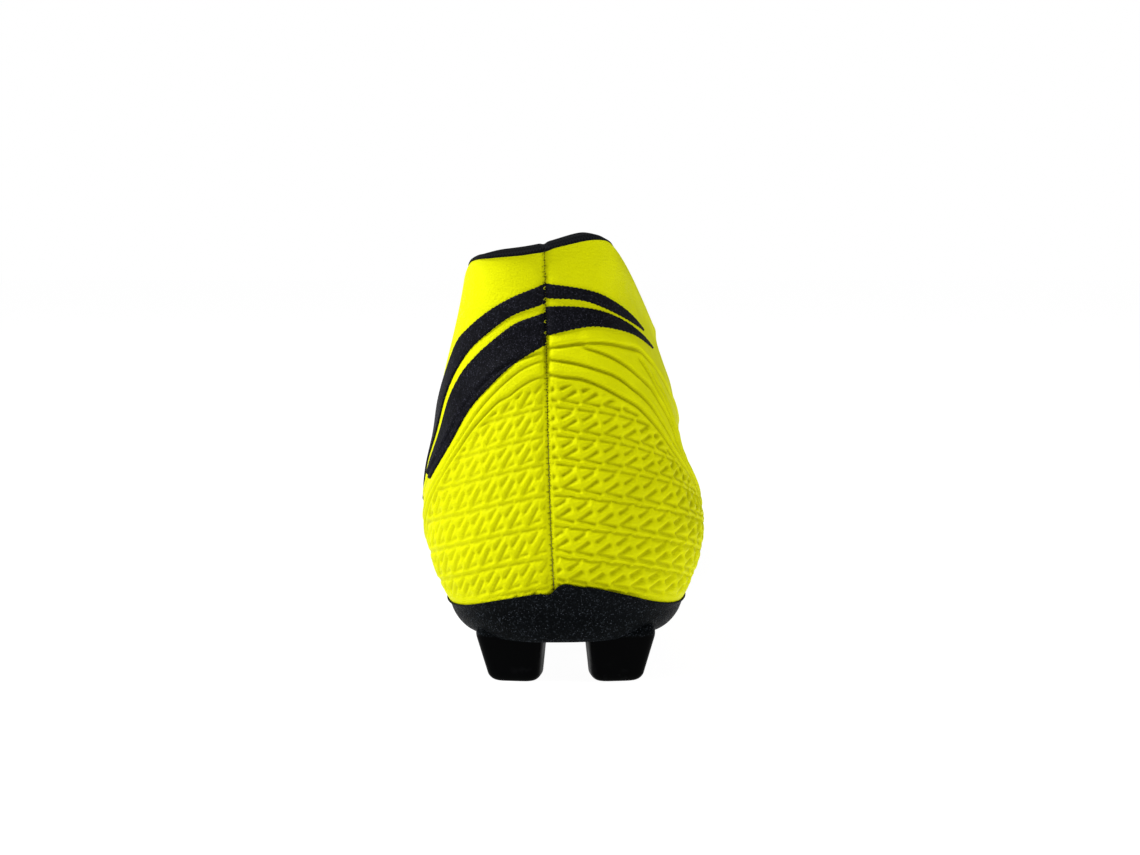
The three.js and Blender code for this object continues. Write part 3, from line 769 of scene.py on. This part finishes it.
def tongue():
    """Knitted elastic under the throat and its free top end, ribbed across."""
    s = stations_by_length(5.7, THROAT_END + 0.22, 0.35, 0.95)
    low = throat_edge(s) + 0.045 - 0.1 * smoothstep(6.35, 6.75, s) + 0.02 * (1 - smoothstep(5.7, 5.82, s))
    up = np.linspace(0, 1, 40)[None, :]
    height = between(low[:, None], 1, up)
    station = np.broadcast_to(s[:, None], height.shape)
    ridge = skin(s, np.ones(len(s)))
    along = np.cumsum(np.concatenate([[0], size(np.diff(ridge, axis=0))]))[:, None]
    rib = 0.22 * np.abs(np.sin(along * math.pi / 2.1)) * smoothstep(2, 5, along)
    hem = 0.35 * np.exp(-((along - 2.2) / 1.4) ** 2)
    rounding = rounded_edge(np.minimum(along, 2.0), 0.75) + rounded_edge(up * 6, 0.5)
    share = np.linspace(0, 1, 14)[None, :, None]
    work = Patchwork()
    for offset, flip in ((-1.75 + rib + hem - rounding, False), (-3.25 + rounding, True)):
        medial, lateral = lifted(station, height, offset), lifted(-station, height, offset)
        gap = size(medial[:, -1] - lateral[:, -1])[:, None]
        bridge = between(medial[:, -1:], lateral[:, -1:], share)
        bridge[..., 2] += 0.12 * gap * np.sin(math.pi * share[..., 0])
        whole = np.concatenate([medial, bridge[:, 1:-1], lateral[:, ::-1]], 1)
        across = np.cumsum(size(np.diff(whole, axis=1, prepend=whole[:, :1])), axis=1)
        work.grid(whole, np.stack([across, np.broadcast_to(along, across.shape)], -1), flip)
    return work.piece("tongue_knit", 0.02)


THREAD_PITCH = 1.3
THREAD_HALF_WIDTH = 0.5
THREAD_RADIUS = 0.085


def heel_seam_thread():
    """One twisted thread that zigzags down the heel seam and dips into each needle hole."""
    top = float(under_topline(np.zeros(1), 2.4)[0])
    holes = np.linspace(top, 0.1, int(2.04 * SEAM_LENGTH * (top - 0.1) / THREAD_PITCH))
    along = np.linspace(0, len(holes) - 1, (len(holes) - 1) * 8 + 1)
    swing = 2 * np.abs(np.mod(along / 2 + 0.25, 1) - 0.5) * 2 - 1
    height = np.interp(along, np.arange(len(holes)), holes)
    per_station = size(skin(0.02, height) - skin(-0.02, height)) / 0.04
    station = THREAD_HALF_WIDTH * np.clip(swing * 1.05, -1, 1) / per_station
    over_band = np.zeros(len(height))
    blur = 0.003
    for (_, low, high), *_ in BANDS.values():
        covered = window(low - blur, low + blur, high - blur, high + blur, height)
        over_band = np.maximum(over_band, covered)
    over_band = over_band * (0.5 + 0.5 * (np.mod(along / 2, 2) < 0.5))
    lift = relief(station, height) - 0.02 - 0.2 * np.abs(swing) ** 6 + over_band * TAPE_THICKNESS
    path = lifted(station, height, lift)
    return threads("heel_seam_zigzag", [(path, skin_normal(station, height))], THREAD_RADIUS, 6)


# ---- Underfoot ----

# Height of the plate's rim on the skin, [station, height]: negative stations are lateral.
RIM = [
    [-13, 0.125], [-12, 0.11], [-11, 0.07], [-10, 0.04], [-7, 0.025], [-4, 0.014], [-2.4, 0.01],
    [-1.6, 0.017], [-0.85, 0.041], [-0.21, 0.061], [-0.02, 0.065], [0.02, 0.076], [0.37, 0.082],
    [0.97, 0.058], [1.39, 0.035], [1.79, 0.02], [2.1, 0.014], [2.5, 0.012], [4.5, 0.016], [7, 0.025],
    [10, 0.04], [11, 0.07], [12, 0.11], [13, 0.125]]
# Side of the plate, [inset from the feather edge, share of the height up to it].
WALL = [
    [7.4, 0], [6.2, 0.005], [5.0, 0.03], [3.9, 0.09], [2.9, 0.18], [2.0, 0.3], [1.2, 0.44], [0.5, 0.6],
    [0.0, 0.77], [-0.4, 0.93]]
# Lip of the rim over the skin, [share of the rim's height, distance from the skin].
LIP = np.array([[0.62, 0.5], [0.85, 0.52], [0.97, 0.46], [1.0, 0.34], [0.98, 0.2], [0.9, 0.0]])
FLOOR_THICKNESS = 2.8
FLOOR_INSET = 4.4


def wall_reach(station):
    """Share of the wall's inset: the back of the heel drops more steeply than the sides."""
    return 1 - 0.62 * np.exp(-(np.abs(station) / 1.15) ** 4)


def outline(station, inset, z):
    """The feather edge moved inwards in plan and set to a height."""
    point = skin(station, 0)
    along = skin(station + 0.01, 0) - skin(station - 0.01, 0)
    outward = unit(np.stack([along[..., 1], -along[..., 0], 0 * along[..., 0]], -1))
    point = point - outward * np.asarray(inset)[..., None]
    point[..., 2] = z
    return point


def sheet(s, inset, z, across):
    """A level sheet between both sides' outlines, one row across at each station."""
    return between(outline(-s, inset, z), outline(s, inset, z), across[..., None])


def sole_detail(x, y):
    """Moulded detail between the studs: two ribs along the waist, chevrons and a heel pad."""
    waist = window(62, 92, 128, 158, y)
    ribs = 1.5 * waist * sum(np.exp(-((x + 4 - side * 7) / 1.6) ** 2) for side in (1, -1))
    wave = np.mod((y + 0.45 * np.abs(x - 1)) / 7.5, 1)
    bars = window(0.3, 0.42, 0.8, 0.92, wave) * (np.abs(x - 1) < 19)
    chevrons = 0.45 * window(158, 172, 248, 262, y) * bars
    heel_pad = 0.4 * (1 - smoothstep(9.5, 10.5, np.hypot(x, (y - 34) * 0.62)))
    return heel_pad - ribs - chevrons


def outsole():
    """Moulded tray: a round-bottomed wall with a lip over the skin, the sole and the floor."""
    station = np.concatenate([np.linspace(-TOE, 0, 360), np.linspace(0, TOE, 360)[1:]])[:, None]
    bottom = at_station(PLATE_BOTTOM, station)
    feather = skin(station, 0)[..., 2]
    _, inset, share = through(WALL, 34)
    inset, share, wide = np.broadcast_arrays(inset * wall_reach(station), share, station)
    wall = outline(wide, inset, between(bottom, feather, share))
    upper = lifted(*np.broadcast_arrays(station, curve(RIM, station) * LIP[:, 0], LIP[:, 1]))
    side = np.concatenate([wall, upper], 1)
    up = np.arange(side.shape[1]) * 0.6
    work = Patchwork()
    work.grid(side, np.stack(np.broadcast_arrays(seam_distance(station, 0), up), -1))
    s = np.linspace(0, TOE, 360)[:, None]
    across = np.linspace(0, 1, 120)[None, :]
    bottom = at_station(PLATE_BOTTOM, s)
    sole = sheet(s, WALL[0][0] * wall_reach(s), bottom, across)
    fade = smoothstep(0, 0.06, np.minimum(across, 1 - across))
    sole[..., 2] += sole_detail(sole[..., 0], sole[..., 1]) * fade
    work.grid(sole, sole[..., :2])
    floor = sheet(s, FLOOR_INSET + 0 * s, bottom + FLOOR_THICKNESS, across[:, ::7])
    work.grid(floor, floor[..., :2], True)
    return work.piece("outsole_shell", 0.01)


# Studs: [place, x, y, half width, half length, turn in degrees, outward lean of the root].
STUDS = [
    ["heel_rear_lateral", -13.4, 17.2, 8.5, 6.3, -8, 1.1], ["heel_rear_medial", 13.6, 17.2, 8.5, 6.3, 8, 1],
    ["heel_front_lateral", -14.2, 52, 7.2, 5.4, 6, 0.8], ["heel_front_medial", 13.6, 52, 7.2, 5.4, -6, 0.8],
    ["waist_lateral", -26.5, 146, 5.2, 6.8, -14, 0.6], ["waist_medial", 18.5, 146, 5.2, 6.8, 14, 0.6],
    ["ball_lateral", -32, 180, 5.2, 6.8, -8, 0.6], ["ball_medial", 27.5, 182, 5.2, 6.8, 8, 0.6],
    ["tread_lateral", -30, 212, 5.2, 6.4, 10, 0.6], ["tread_medial", 30, 214, 5.2, 6.4, -10, 0.6],
    ["toe_lateral", -15, 238, 6.2, 4.6, 14, 0.4], ["toe_medial", 17, 242, 6.2, 4.6, -14, 0.4],
]
STUD_TAPER = 0.75
STUD_CORNER = 1.9
STUD_EMBED = 6.5
STUD_SQUARENESS = 4.4


def plate_height_over(y):
    """Height of the plate's flat underside at a distance from the heel."""
    station = np.linspace(0, TOE, 261)
    middle = (skin(station, 0)[:, 1] + skin(-station, 0)[:, 1]) / 2
    return float(np.interp(y, middle, at_station(PLATE_BOTTOM, station)))


def stud(place, x, y, half_width, half_length, turn, lean):
    """A blade that narrows evenly from the plate to a flat tip with well rounded corners."""
    tall = plate_height_over(y) - GROUND
    low = STUD_CORNER * (1 - np.cos(np.linspace(0, math.pi / 2, 12)))
    up = np.concatenate([low, np.linspace(STUD_CORNER, tall + STUD_EMBED, 26)[1:]])[:, None]
    rise = up / tall
    taper = between(STUD_TAPER, 1, rise)
    corner = rounded_edge(up, STUD_CORNER)
    buried = 0.12 * np.maximum(up - tall, 0) ** 2
    angle = np.linspace(0, 2 * math.pi, 129)[None, :]
    waves = np.cos(angle), np.sin(angle)
    across, along = (np.sign(wave) * np.abs(wave) ** (2 / STUD_SQUARENESS) for wave in waves)
    across = across * (half_width * taper - corner - buried) + np.sign(x) * lean * (rise - 1)
    along = along * (half_length * taper - 0.5 * corner - buried)
    c, s = math.cos(math.radians(turn)), math.sin(math.radians(turn))
    points = np.stack(floats(x + across * c - along * s, y + across * s + along * c, GROUND + up), -1)
    centre = points[0].mean(0)
    work = Patchwork()
    work.grid(points, None, True)
    work.grid(centre + (points[0][:, None] - centre) * np.linspace(1, 0.01, 8)[None, :, None])
    return work.piece(f"blade_{place}", 0.005)


# Height of the insole's middle over the plate's flat underside, at the 14 stations.
SOCKLINER_RISE = [6.45, 6.45, 6.45, 6.25, 5.65, 5.05, 4.65, 4.65, 5.05, 5.05, 5.25, 5.05, 4.65, 4.65]
SOCKLINER_HALF = 1.3


def sockliner():
    """Foam insole with a cupped heel and a cloth top, rounded over at its edge."""
    s = np.linspace(0, TOE, 240)[:, None]
    middle = np.linspace(0.045, 0.955, 56)
    across = np.concatenate([[0, 0.004, 0.012, 0.025], middle, [0.975, 0.988, 0.996, 1]])[None, :]
    base = at_station(PLATE_BOTTOM, s) + at_station(SOCKLINER_RISE, s)
    flat = sheet(s, 5 - 0.4 * smoothstep(5, 7.5, s), base, across)
    to_edge = np.minimum(across, 1 - across) * size(flat[:, -1] - flat[:, 0])[:, None] + 0.01
    cup = 1.6 * np.exp(-to_edge / 5) * (1 - smoothstep(4, 7, s))
    crown = np.sqrt(1 - (1 - np.clip(to_edge / 1.4, 0, 1)) ** 2)
    dimple = 0.12 * np.cos(flat[..., 0] * 1.57) * np.cos(flat[..., 1] * 1.57) * crown
    top, under = flat.copy(), flat.copy()
    top[..., 2] += SOCKLINER_HALF * crown + cup + dimple
    under[..., 2] -= SOCKLINER_HALF * crown - cup * 0.4
    work = Patchwork()
    work.grid(top, flat[..., :2], True)
    work.grid(under, flat[..., :2])
    return work.piece("sockliner_pad", 0.01)


# ---- Materials ----

class Shade:
    """Short way to wire one procedural material. Textures work in metres or in UV millimetres."""

    def __init__(self, name, roughness, **settings):
        self.material = bpy.data.materials.new(name)
        self.material.use_nodes = True
        self.nodes = self.material.node_tree.nodes
        self.links = self.material.node_tree.links
        self.shader = self.nodes["Principled BSDF"]
        self.shader.inputs["Roughness"].default_value = roughness
        for socket, value in settings.items():
            self.shader.inputs[socket.replace("_", " ")].default_value = value
        self.place = self.nodes.new("ShaderNodeTexCoord")

    def add(self, kind, **inputs):
        node = self.nodes.new(kind)
        for socket, value in inputs.items():
            self.set(node.inputs[socket.replace("_", " ")], value)
        return node

    def set(self, socket, value):
        if isinstance(value, bpy.types.NodeSocket):
            self.links.new(value, socket)
        else:
            socket.default_value = value

    def math(self, operation, *values):
        node = self.nodes.new("ShaderNodeMath")
        node.operation = operation
        for socket, value in zip(node.inputs, values):
            self.set(socket, value)
        return node.outputs[0]

    def times(self, *values):
        return self.math("MULTIPLY", *values)

    def noise(self, scale, detail):
        node = self.add("ShaderNodeTexNoise", Vector=self.place.outputs["Object"], Scale=scale, Detail=detail)
        return node.outputs["Fac"]

    def patches(self, scale, detail, low=0.3, high=0.7, *values):
        """Noise that changes smoothly from one value to another between two of its levels."""
        return self.ramp(self.noise(scale, detail), low, high, *values)

    def cells(self, scale):
        """Distance from the middle of scattered cells."""
        node = self.add("ShaderNodeTexVoronoi", Vector=self.place.outputs["Object"], Scale=scale)
        return node.outputs["Distance"]

    def ramp(self, value, low, high, from_value=0.0, to_value=1.0):
        """Smooth change from one value to another as an input rises from low to high."""
        node = self.nodes.new("ShaderNodeMapRange")
        node.interpolation_type = "SMOOTHSTEP"
        for socket, amount in zip(node.inputs, (value, low, high, from_value, to_value)):
            self.set(socket, amount)
        return node.outputs[0]

    def mix(self, share, first, second):
        node = self.nodes.new("ShaderNodeMix")
        node.data_type = "RGBA"
        self.set(node.inputs[0], share)
        for socket, colour in zip((node.inputs[6], node.inputs[7]), (first, second)):
            self.set(socket, colour if isinstance(colour, bpy.types.NodeSocket) else (*colour, 1))
        return node.outputs[2]

    def uv(self):
        node = self.add("ShaderNodeSeparateXYZ", Vector=self.place.outputs["UV"])
        return node.outputs["X"], node.outputs["Y"]

    def wave(self, coordinate, pitch):
        """Rises and falls between 0 and 1 once every pitch."""
        turns = self.times(coordinate, 2 * math.pi / pitch)
        return self.math("MULTIPLY_ADD", self.math("SINE", turns), 0.5, 0.5)

    def knit(self, wale, course):
        """Height of a knitted cloth: staggered loops, wale by course millimetres."""
        x, y = self.uv()
        leg = self.math("ABSOLUTE", self.math("SINE", self.times(x, math.pi / wale)))
        slant = self.math("MULTIPLY_ADD", leg, course * 0.5, y)
        return self.times(self.math("MULTIPLY_ADD", leg, 0.6, 0.4), self.wave(slant, course))

    def weave(self, pitch):
        x, y = self.uv()
        over = self.wave(self.math("ADD", x, y), pitch)
        under = self.wave(self.math("SUBTRACT", x, y), pitch)
        return self.math("MAXIMUM", over, under)

    def colour(self, share, *pair):
        """Base colour: two colours mixed by a share, or the colour of a socket."""
        self.set(self.shader.inputs["Base Color"], self.mix(share, *pair) if pair else share)

    def roughness(self, value):
        self.set(self.shader.inputs["Roughness"], value)

    def bump(self, height, millimetres, strength=1.0):
        """Adds small relief of a real depth to the surface."""
        node = self.add("ShaderNodeBump", Height=height, Strength=strength, Distance=millimetres / 1000)
        if self.shader.inputs["Normal"].is_linked:
            self.links.new(self.shader.inputs["Normal"].links[0].from_socket, node.inputs["Normal"])
        self.links.new(node.outputs[0], self.shader.inputs["Normal"])


def upper_material():
    """Fluorescent coated synthetic: satin skin, fine pores, faint mottling, dark seam line, painted shade in
    the creases.
    """
    shade = Shade("coated_upper_yellow", 0.5, Specular_IOR_Level=0.04)
    unshaded_yellow = shade.mix(shade.patches(90, 4, 0.35, 0.65), (0.76, 0.79, 0.0), (0.82, 0.85, 0.0))
    # Painted shade: the grooves, wrap valleys and seam valley darkened by the crease mask.
    pressed = shade.nodes.new("ShaderNodeAttribute")
    pressed.attribute_name = "crease"
    crease_shaded = shade.mix(pressed.outputs["Fac"], unshaded_yellow, (0.5, 0.5, 0.0))
    x, y = shade.uv()
    wander = shade.times(shade.math("SINE", shade.times(y, 4.83)), 0.14)
    ragged = shade.math("MULTIPLY_ADD", shade.noise(700, 3), 0.6, -0.3)
    off_joint = shade.math("ABSOLUTE", shade.math("SUBTRACT", x, shade.math("ADD", wander, ragged)))
    broken = shade.patches(430, 2, 0.4, 0.56, 0.25, 1)
    gap = shade.times(shade.ramp(off_joint, 0.04, 0.16, 1, 0), broken)
    needle = shade.ramp(shade.wave(shade.math("MULTIPLY_ADD", shade.noise(300, 1), 1.2, y), 1.3), 0.7, 0.9)
    reach = shade.ramp(off_joint, 0.3, 0.8, 1, 0)
    holes = shade.times(shade.times(needle, reach), shade.patches(800, 2, 0.42, 0.52))
    dark = shade.math("MAXIMUM", gap, shade.times(holes, 0.55))
    shade.colour(dark, crease_shaded, (0.035, 0.037, 0.0))
    shade.roughness(shade.patches(260, 5, 0.3, 0.7, 0.5, 0.66))
    shade.bump(shade.noise(2200, 3), 0.3, 0.9)
    shade.bump(shade.noise(420, 2), 0.12, 0.35)
    return shade.material


def overlay_material():
    """Charcoal heat-bonded tape with a fine grain and light specks painted in as glints."""
    shade = Shade("bonded_tape_charcoal", 0.55, Specular_IOR_Level=0.05)
    grain = shade.noise(3200, 3)
    patchy = shade.patches(60, 3)
    tone = shade.mix(patchy, (0.002, 0.0021, 0.0034), (0.004, 0.0042, 0.0066))
    frosted = shade.mix(shade.patches(2600, 2, 0.48, 0.68), tone, (0.014, 0.0145, 0.021))
    # Painted glints: scattered light specks on the tape's grain.
    spark = shade.ramp(shade.cells(2600), 0.3, 0.2, 0, 1)
    lit = shade.times(spark, shade.patches(1200, 1, 0.5, 0.6))
    shade.colour(lit, frosted, (0.06, 0.06, 0.085))
    shade.roughness(shade.ramp(grain, 0.3, 0.7, 0.45, 0.7))
    shade.bump(grain, 0.09, 0.6)
    shade.bump(shade.noise(500, 2), 0.15, 0.3)
    return shade.material


def knit_material(name, roughness, loop, dark, light, depth, fuzz, **settings):
    """Knitted cloth: the size and depth of its loops, and the scale and strength of its fuzz."""
    shade = Shade(name, roughness, **settings)
    loops = shade.knit(*loop)
    shade.colour(loops, dark, light)
    shade.bump(loops, depth, 0.8)
    shade.bump(shade.noise(fuzz[0], 3), 0.08, fuzz[1])
    return shade.material


def binding_material():
    """Dark knitted binding with a soft nap."""
    return knit_material(
        "knit_binding_dark", 0.85, (0.75, 0.9), (0.0025, 0.003, 0.004), (0.012, 0.013, 0.016), 0.22,
        (3500, 0.6), Specular_IOR_Level=0.06, Sheen_Weight=0.03, Sheen_Roughness=0.4)


def elastic_material():
    """Elastic knit of the tongue: fine cross ribs and loops."""
    return knit_material(
        "elastic_knit", 0.86, (0.85, 1.05), (0.007, 0.0075, 0.01), (0.03, 0.031, 0.038), 0.25,
        (3000, 0.5), Specular_IOR_Level=0.25, Sheen_Weight=0.15, Sheen_Roughness=0.45)


def lining_material():
    """Brushed lining cloth over foam."""
    shade = Shade("brushed_lining_black", 0.92, Specular_IOR_Level=0.2, Sheen_Weight=0.25,
                  Sheen_Roughness=0.5)
    mesh = shade.weave(1.1)
    brushed = shade.times(mesh, shade.noise(300, 3))
    shade.colour(brushed, (0.007, 0.007, 0.009), (0.028, 0.028, 0.033))
    shade.bump(mesh, 0.12, 0.6)
    shade.bump(shade.noise(2500, 3), 0.1, 0.6)
    return shade.material


def foam_material():
    """Open-cell foam."""
    shade = Shade("open_cell_foam", 0.95, Specular_IOR_Level=0.2)
    cell = shade.cells(1100)
    shade.colour(cell, (0.02, 0.02, 0.022), (0.07, 0.07, 0.075))
    shade.bump(cell, 0.3, 0.8)
    return shade.material


def stiffener_material():
    """Pressed heel and toe stiffener sheet with short fibres."""
    shade = Shade("pressed_stiffener", 0.8, Specular_IOR_Level=0.3)
    fibre = shade.noise(700, 6)
    shade.colour(shade.ramp(fibre, 0.35, 0.65), (0.5, 0.46, 0.38), (0.68, 0.65, 0.57))
    shade.bump(fibre, 0.1, 0.6)
    return shade.material


def board_material():
    """Fibre board with needle-punched pits."""
    shade = Shade("needled_fibre_board", 0.9, Specular_IOR_Level=0.25)
    fibre = shade.noise(500, 6)
    pit = shade.ramp(shade.cells(450), 0.12, 0.25)
    shade.colour(shade.times(fibre, pit), (0.3, 0.26, 0.2), (0.66, 0.6, 0.5))
    shade.bump(pit, 0.2, 0.7)
    return shade.material


def sockliner_material():
    """Knit top cloth of the insole with a honeycomb press."""
    shade = Shade("sockliner_cloth", 0.88, Specular_IOR_Level=0.2, Sheen_Weight=0.2, Sheen_Roughness=0.5)
    loops = shade.weave(0.9)
    press = shade.ramp(shade.cells(240), 0.2, 0.45)
    lit = shade.times(loops, shade.math("MULTIPLY_ADD", press, 0.35, 0.65))
    shade.colour(lit, (0.014, 0.0145, 0.017), (0.045, 0.047, 0.055))
    shade.bump(press, 0.25, 0.6)
    shade.bump(loops, 0.1, 0.6)
    return shade.material


def thread_material():
    """Twisted polyester thread, olive in the shade of its crease."""
    shade = Shade("twisted_thread", 0.5, Specular_IOR_Level=0.08)
    strand = shade.noise(5200, 2)
    shade.colour(shade.ramp(strand, 0.35, 0.65), (0.66, 0.69, 0.0), (0.82, 0.86, 0.02))
    shade.bump(strand, 0.06, 0.8)
    return shade.material


def plate_grain(shade):
    """Spark-eroded grain and its colour: near black, painted highlights on the peaks, light flecks painted as
    glints.
    """
    grain = shade.noise(1900, 4)
    patchy = shade.patches(70, 3)
    tone = shade.mix(patchy, (0.0006, 0.0012, 0.0016), (0.002, 0.003, 0.004))
    # Painted highlight: the grain's peaks made lighter.
    highlit_peaks = shade.mix(shade.ramp(grain, 0.54, 0.72), tone, (0.022, 0.027, 0.032))
    # Painted glints: scattered light flecks.
    glint_fleck = shade.ramp(shade.cells(2100), 0.24, 0.14, 0, 1)
    chosen = shade.patches(900, 2, 0.42, 0.56)
    return grain, shade.mix(shade.times(glint_fleck, chosen), highlit_peaks, (0.085, 0.098, 0.118))


def plate_material():
    """Black moulded plastic with a fine spark grain, light specks painted as glints and painted highlights on
    its peaks.
    """
    shade = Shade("speckled_plate_black", 0.5, Specular_IOR_Level=0.03)
    grain, colour = plate_grain(shade)
    shade.colour(colour)
    shade.roughness(shade.ramp(grain, 0.3, 0.7, 0.38, 0.7))
    shade.bump(grain, 0.4, 1.0)
    return shade.material


def stud_material():
    """Glossy black plastic, scuffed a little towards the tip, at the root grained like the plate with its
    painted highlights and glints.
    """
    shade = Shade("glossy_stud_black", 0.3, Specular_IOR_Level=0.02)
    scuff = shade.patches(380, 6, 0.52, 0.72)
    height = shade.add("ShaderNodeSeparateXYZ", Vector=shade.place.outputs["Object"]).outputs["Z"]
    worn = shade.times(scuff, shade.ramp(height, 0.0, 0.006, 1, 0))
    root = shade.ramp(height, 0.0113, 0.0122)
    # The root takes the plate's colour with its painted highlights and glints.
    grain, rough_colour = plate_grain(shade)
    smooth_colour = shade.mix(worn, (0.0006, 0.0007, 0.0009), (0.006, 0.006, 0.007))
    shade.colour(root, smooth_colour, rough_colour)
    shade.bump(shade.times(grain, root), 0.4, 1.0)
    satin = shade.patches(160, 3, 0.3, 0.7, 0.34, 0.46)
    shade.roughness(shade.math("ADD", satin, shade.times(worn, 0.3)))
    shade.bump(shade.noise(700, 3), 0.05, 0.3)
    return shade.material


def floor_material():
    """Plain pale floor that keeps shadows light."""
    shade = Shade("studio_floor", 0.9, Specular_IOR_Level=0.0, Emission_Strength=0.975)
    shade.colour(shade.noise(3, 2), (0.14, 0.14, 0.14), (0.15, 0.15, 0.15))
    shade.shader.inputs["Emission Color"].default_value = (1, 1, 1, 1)
    return shade.material


# ---- The boot ----

SIDE_STITCH_SHIFT = 0.09


def build():
    upper, overlay, thread = upper_material(), overlay_material(), thread_material()
    elastic, stud_plastic = elastic_material(), stud_material()
    finished(quarter(-1), "boot", "upper", upper, "quarter_lateral")
    finished(quarter(1), "boot", "upper", upper, "quarter_medial")
    finished(vamp(), "boot", "upper", upper, "vamp")
    for name in BANDS:
        finished(heel_band(name), "boot", "overlay", overlay, name)
    finished(heel_seam_thread(), "boot", "thread", thread, "heel_seam_thread")
    finished(throat_trim(), "boot", "overlay", overlay, "throat_trim")
    finished(collar_binding(), "boot", "binding", binding_material(), "collar_binding")
    finished(lining(), "boot", "lining", lining_material(), "collar_lining")
    foam = finished(collar_foam(), "boot", "foam", foam_material(), "collar_foam")
    pad = finished(sockliner(), "boot", "sockliner", sockliner_material(), "sockliner")
    finished(outsole(), "boot", "plate", plate_material(), "outsole_plate")
    for row in STUDS:
        finished(stud(*row), "boot", "stud", stud_plastic, f"stud_{row[0]}")
    knit = finished(tongue(), None, "elastic", elastic, "throat_elastic", "tongue_tab")
    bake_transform(knit)
    for side, label in ((-1, "lateral"), (1, "medial")):
        for place, shift in (("rear", -SIDE_STITCH_SHIFT), ("front", SIDE_STITCH_SHIFT)):
            height = np.linspace(0.06, 0.8, 300)
            station = np.full(len(height), side * (QUARTER_END + shift))
            row = stitch_row(f"side_seam_stitches_{label}_{place}", station, height)
            finished(row, "boot", "thread", thread)
    for name, material in (("lasting_board", board_material()), ("heel_counter", stiffener_material()),
                           ("toe_puff", stiffener_material())):
        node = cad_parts[name]
        node.data.materials.clear()
        node.data.materials.append(material)


# ---- Studio ----

# Disk lights, all aimed at the heel: [name, place in metres, width, watts].
LIGHTS = [
    ["key", (-1.2, -0.38, 0.95), 0.4, 16.8],
    ["fill", (1.1, -0.35, 0.35), 0.9, 3.4],
    ["top", (-0.4, -0.5, 1.3), 0.3, 7],
]
LIGHT_AIM = (0, -0.12, 0.06)
WORLD_LIGHT = 0.13
WORLD_SEEN = 1.0
FLOOR_WIDTH = 12
CAMERA_PLACE = (0.0023, -0.63031, 0.1082)
CAMERA_TILT = 84.942
CAMERA_LENS = 64.5


def in_scene(name, data, place, turn):
    thing = bpy.data.objects.new(name, data)
    bpy.context.scene.collection.objects.link(thing)
    thing.location = place
    thing.rotation_euler = turn
    return thing


def add_light(name, place, width, watts):
    data = bpy.data.lights.new(name, "AREA")
    data.shape = "DISK"
    data.size = width
    data.energy = watts
    direction = Vector(LIGHT_AIM) - Vector(place)
    in_scene(name, data, place, direction.to_track_quat("-Z", "Y").to_euler())


def white_world():
    """White to the camera, and a weak even light on everything else."""
    world = bpy.data.worlds.new("studio")
    world.use_nodes = True
    nodes, links = world.node_tree.nodes, world.node_tree.links
    background = nodes["Background"]
    background.inputs["Color"].default_value = (1, 1, 1, 1)
    strength = nodes.new("ShaderNodeMapRange")
    links.new(nodes.new("ShaderNodeLightPath").outputs["Is Camera Ray"], strength.inputs["Value"])
    strength.inputs["To Min"].default_value = WORLD_LIGHT
    strength.inputs["To Max"].default_value = WORLD_SEEN
    links.new(strength.outputs[0], background.inputs["Strength"])
    return world


def studio():
    bpy.ops.mesh.primitive_plane_add(size=FLOOR_WIDTH)
    floor = bpy.context.object
    floor.name = "studio_floor"
    floor.data.materials.append(floor_material())
    for row in LIGHTS:
        add_light(*row)
    bpy.context.scene.world = white_world()
    bpy.context.scene.view_settings.view_transform = "Standard"


def camera():
    data = bpy.data.cameras.new("camera")
    data.lens = CAMERA_LENS
    data.sensor_width = 36
    turn = (math.radians(CAMERA_TILT), 0, 0)
    bpy.context.scene.camera = in_scene("camera", data, CAMERA_PLACE, turn)


camera()
build()
studio()
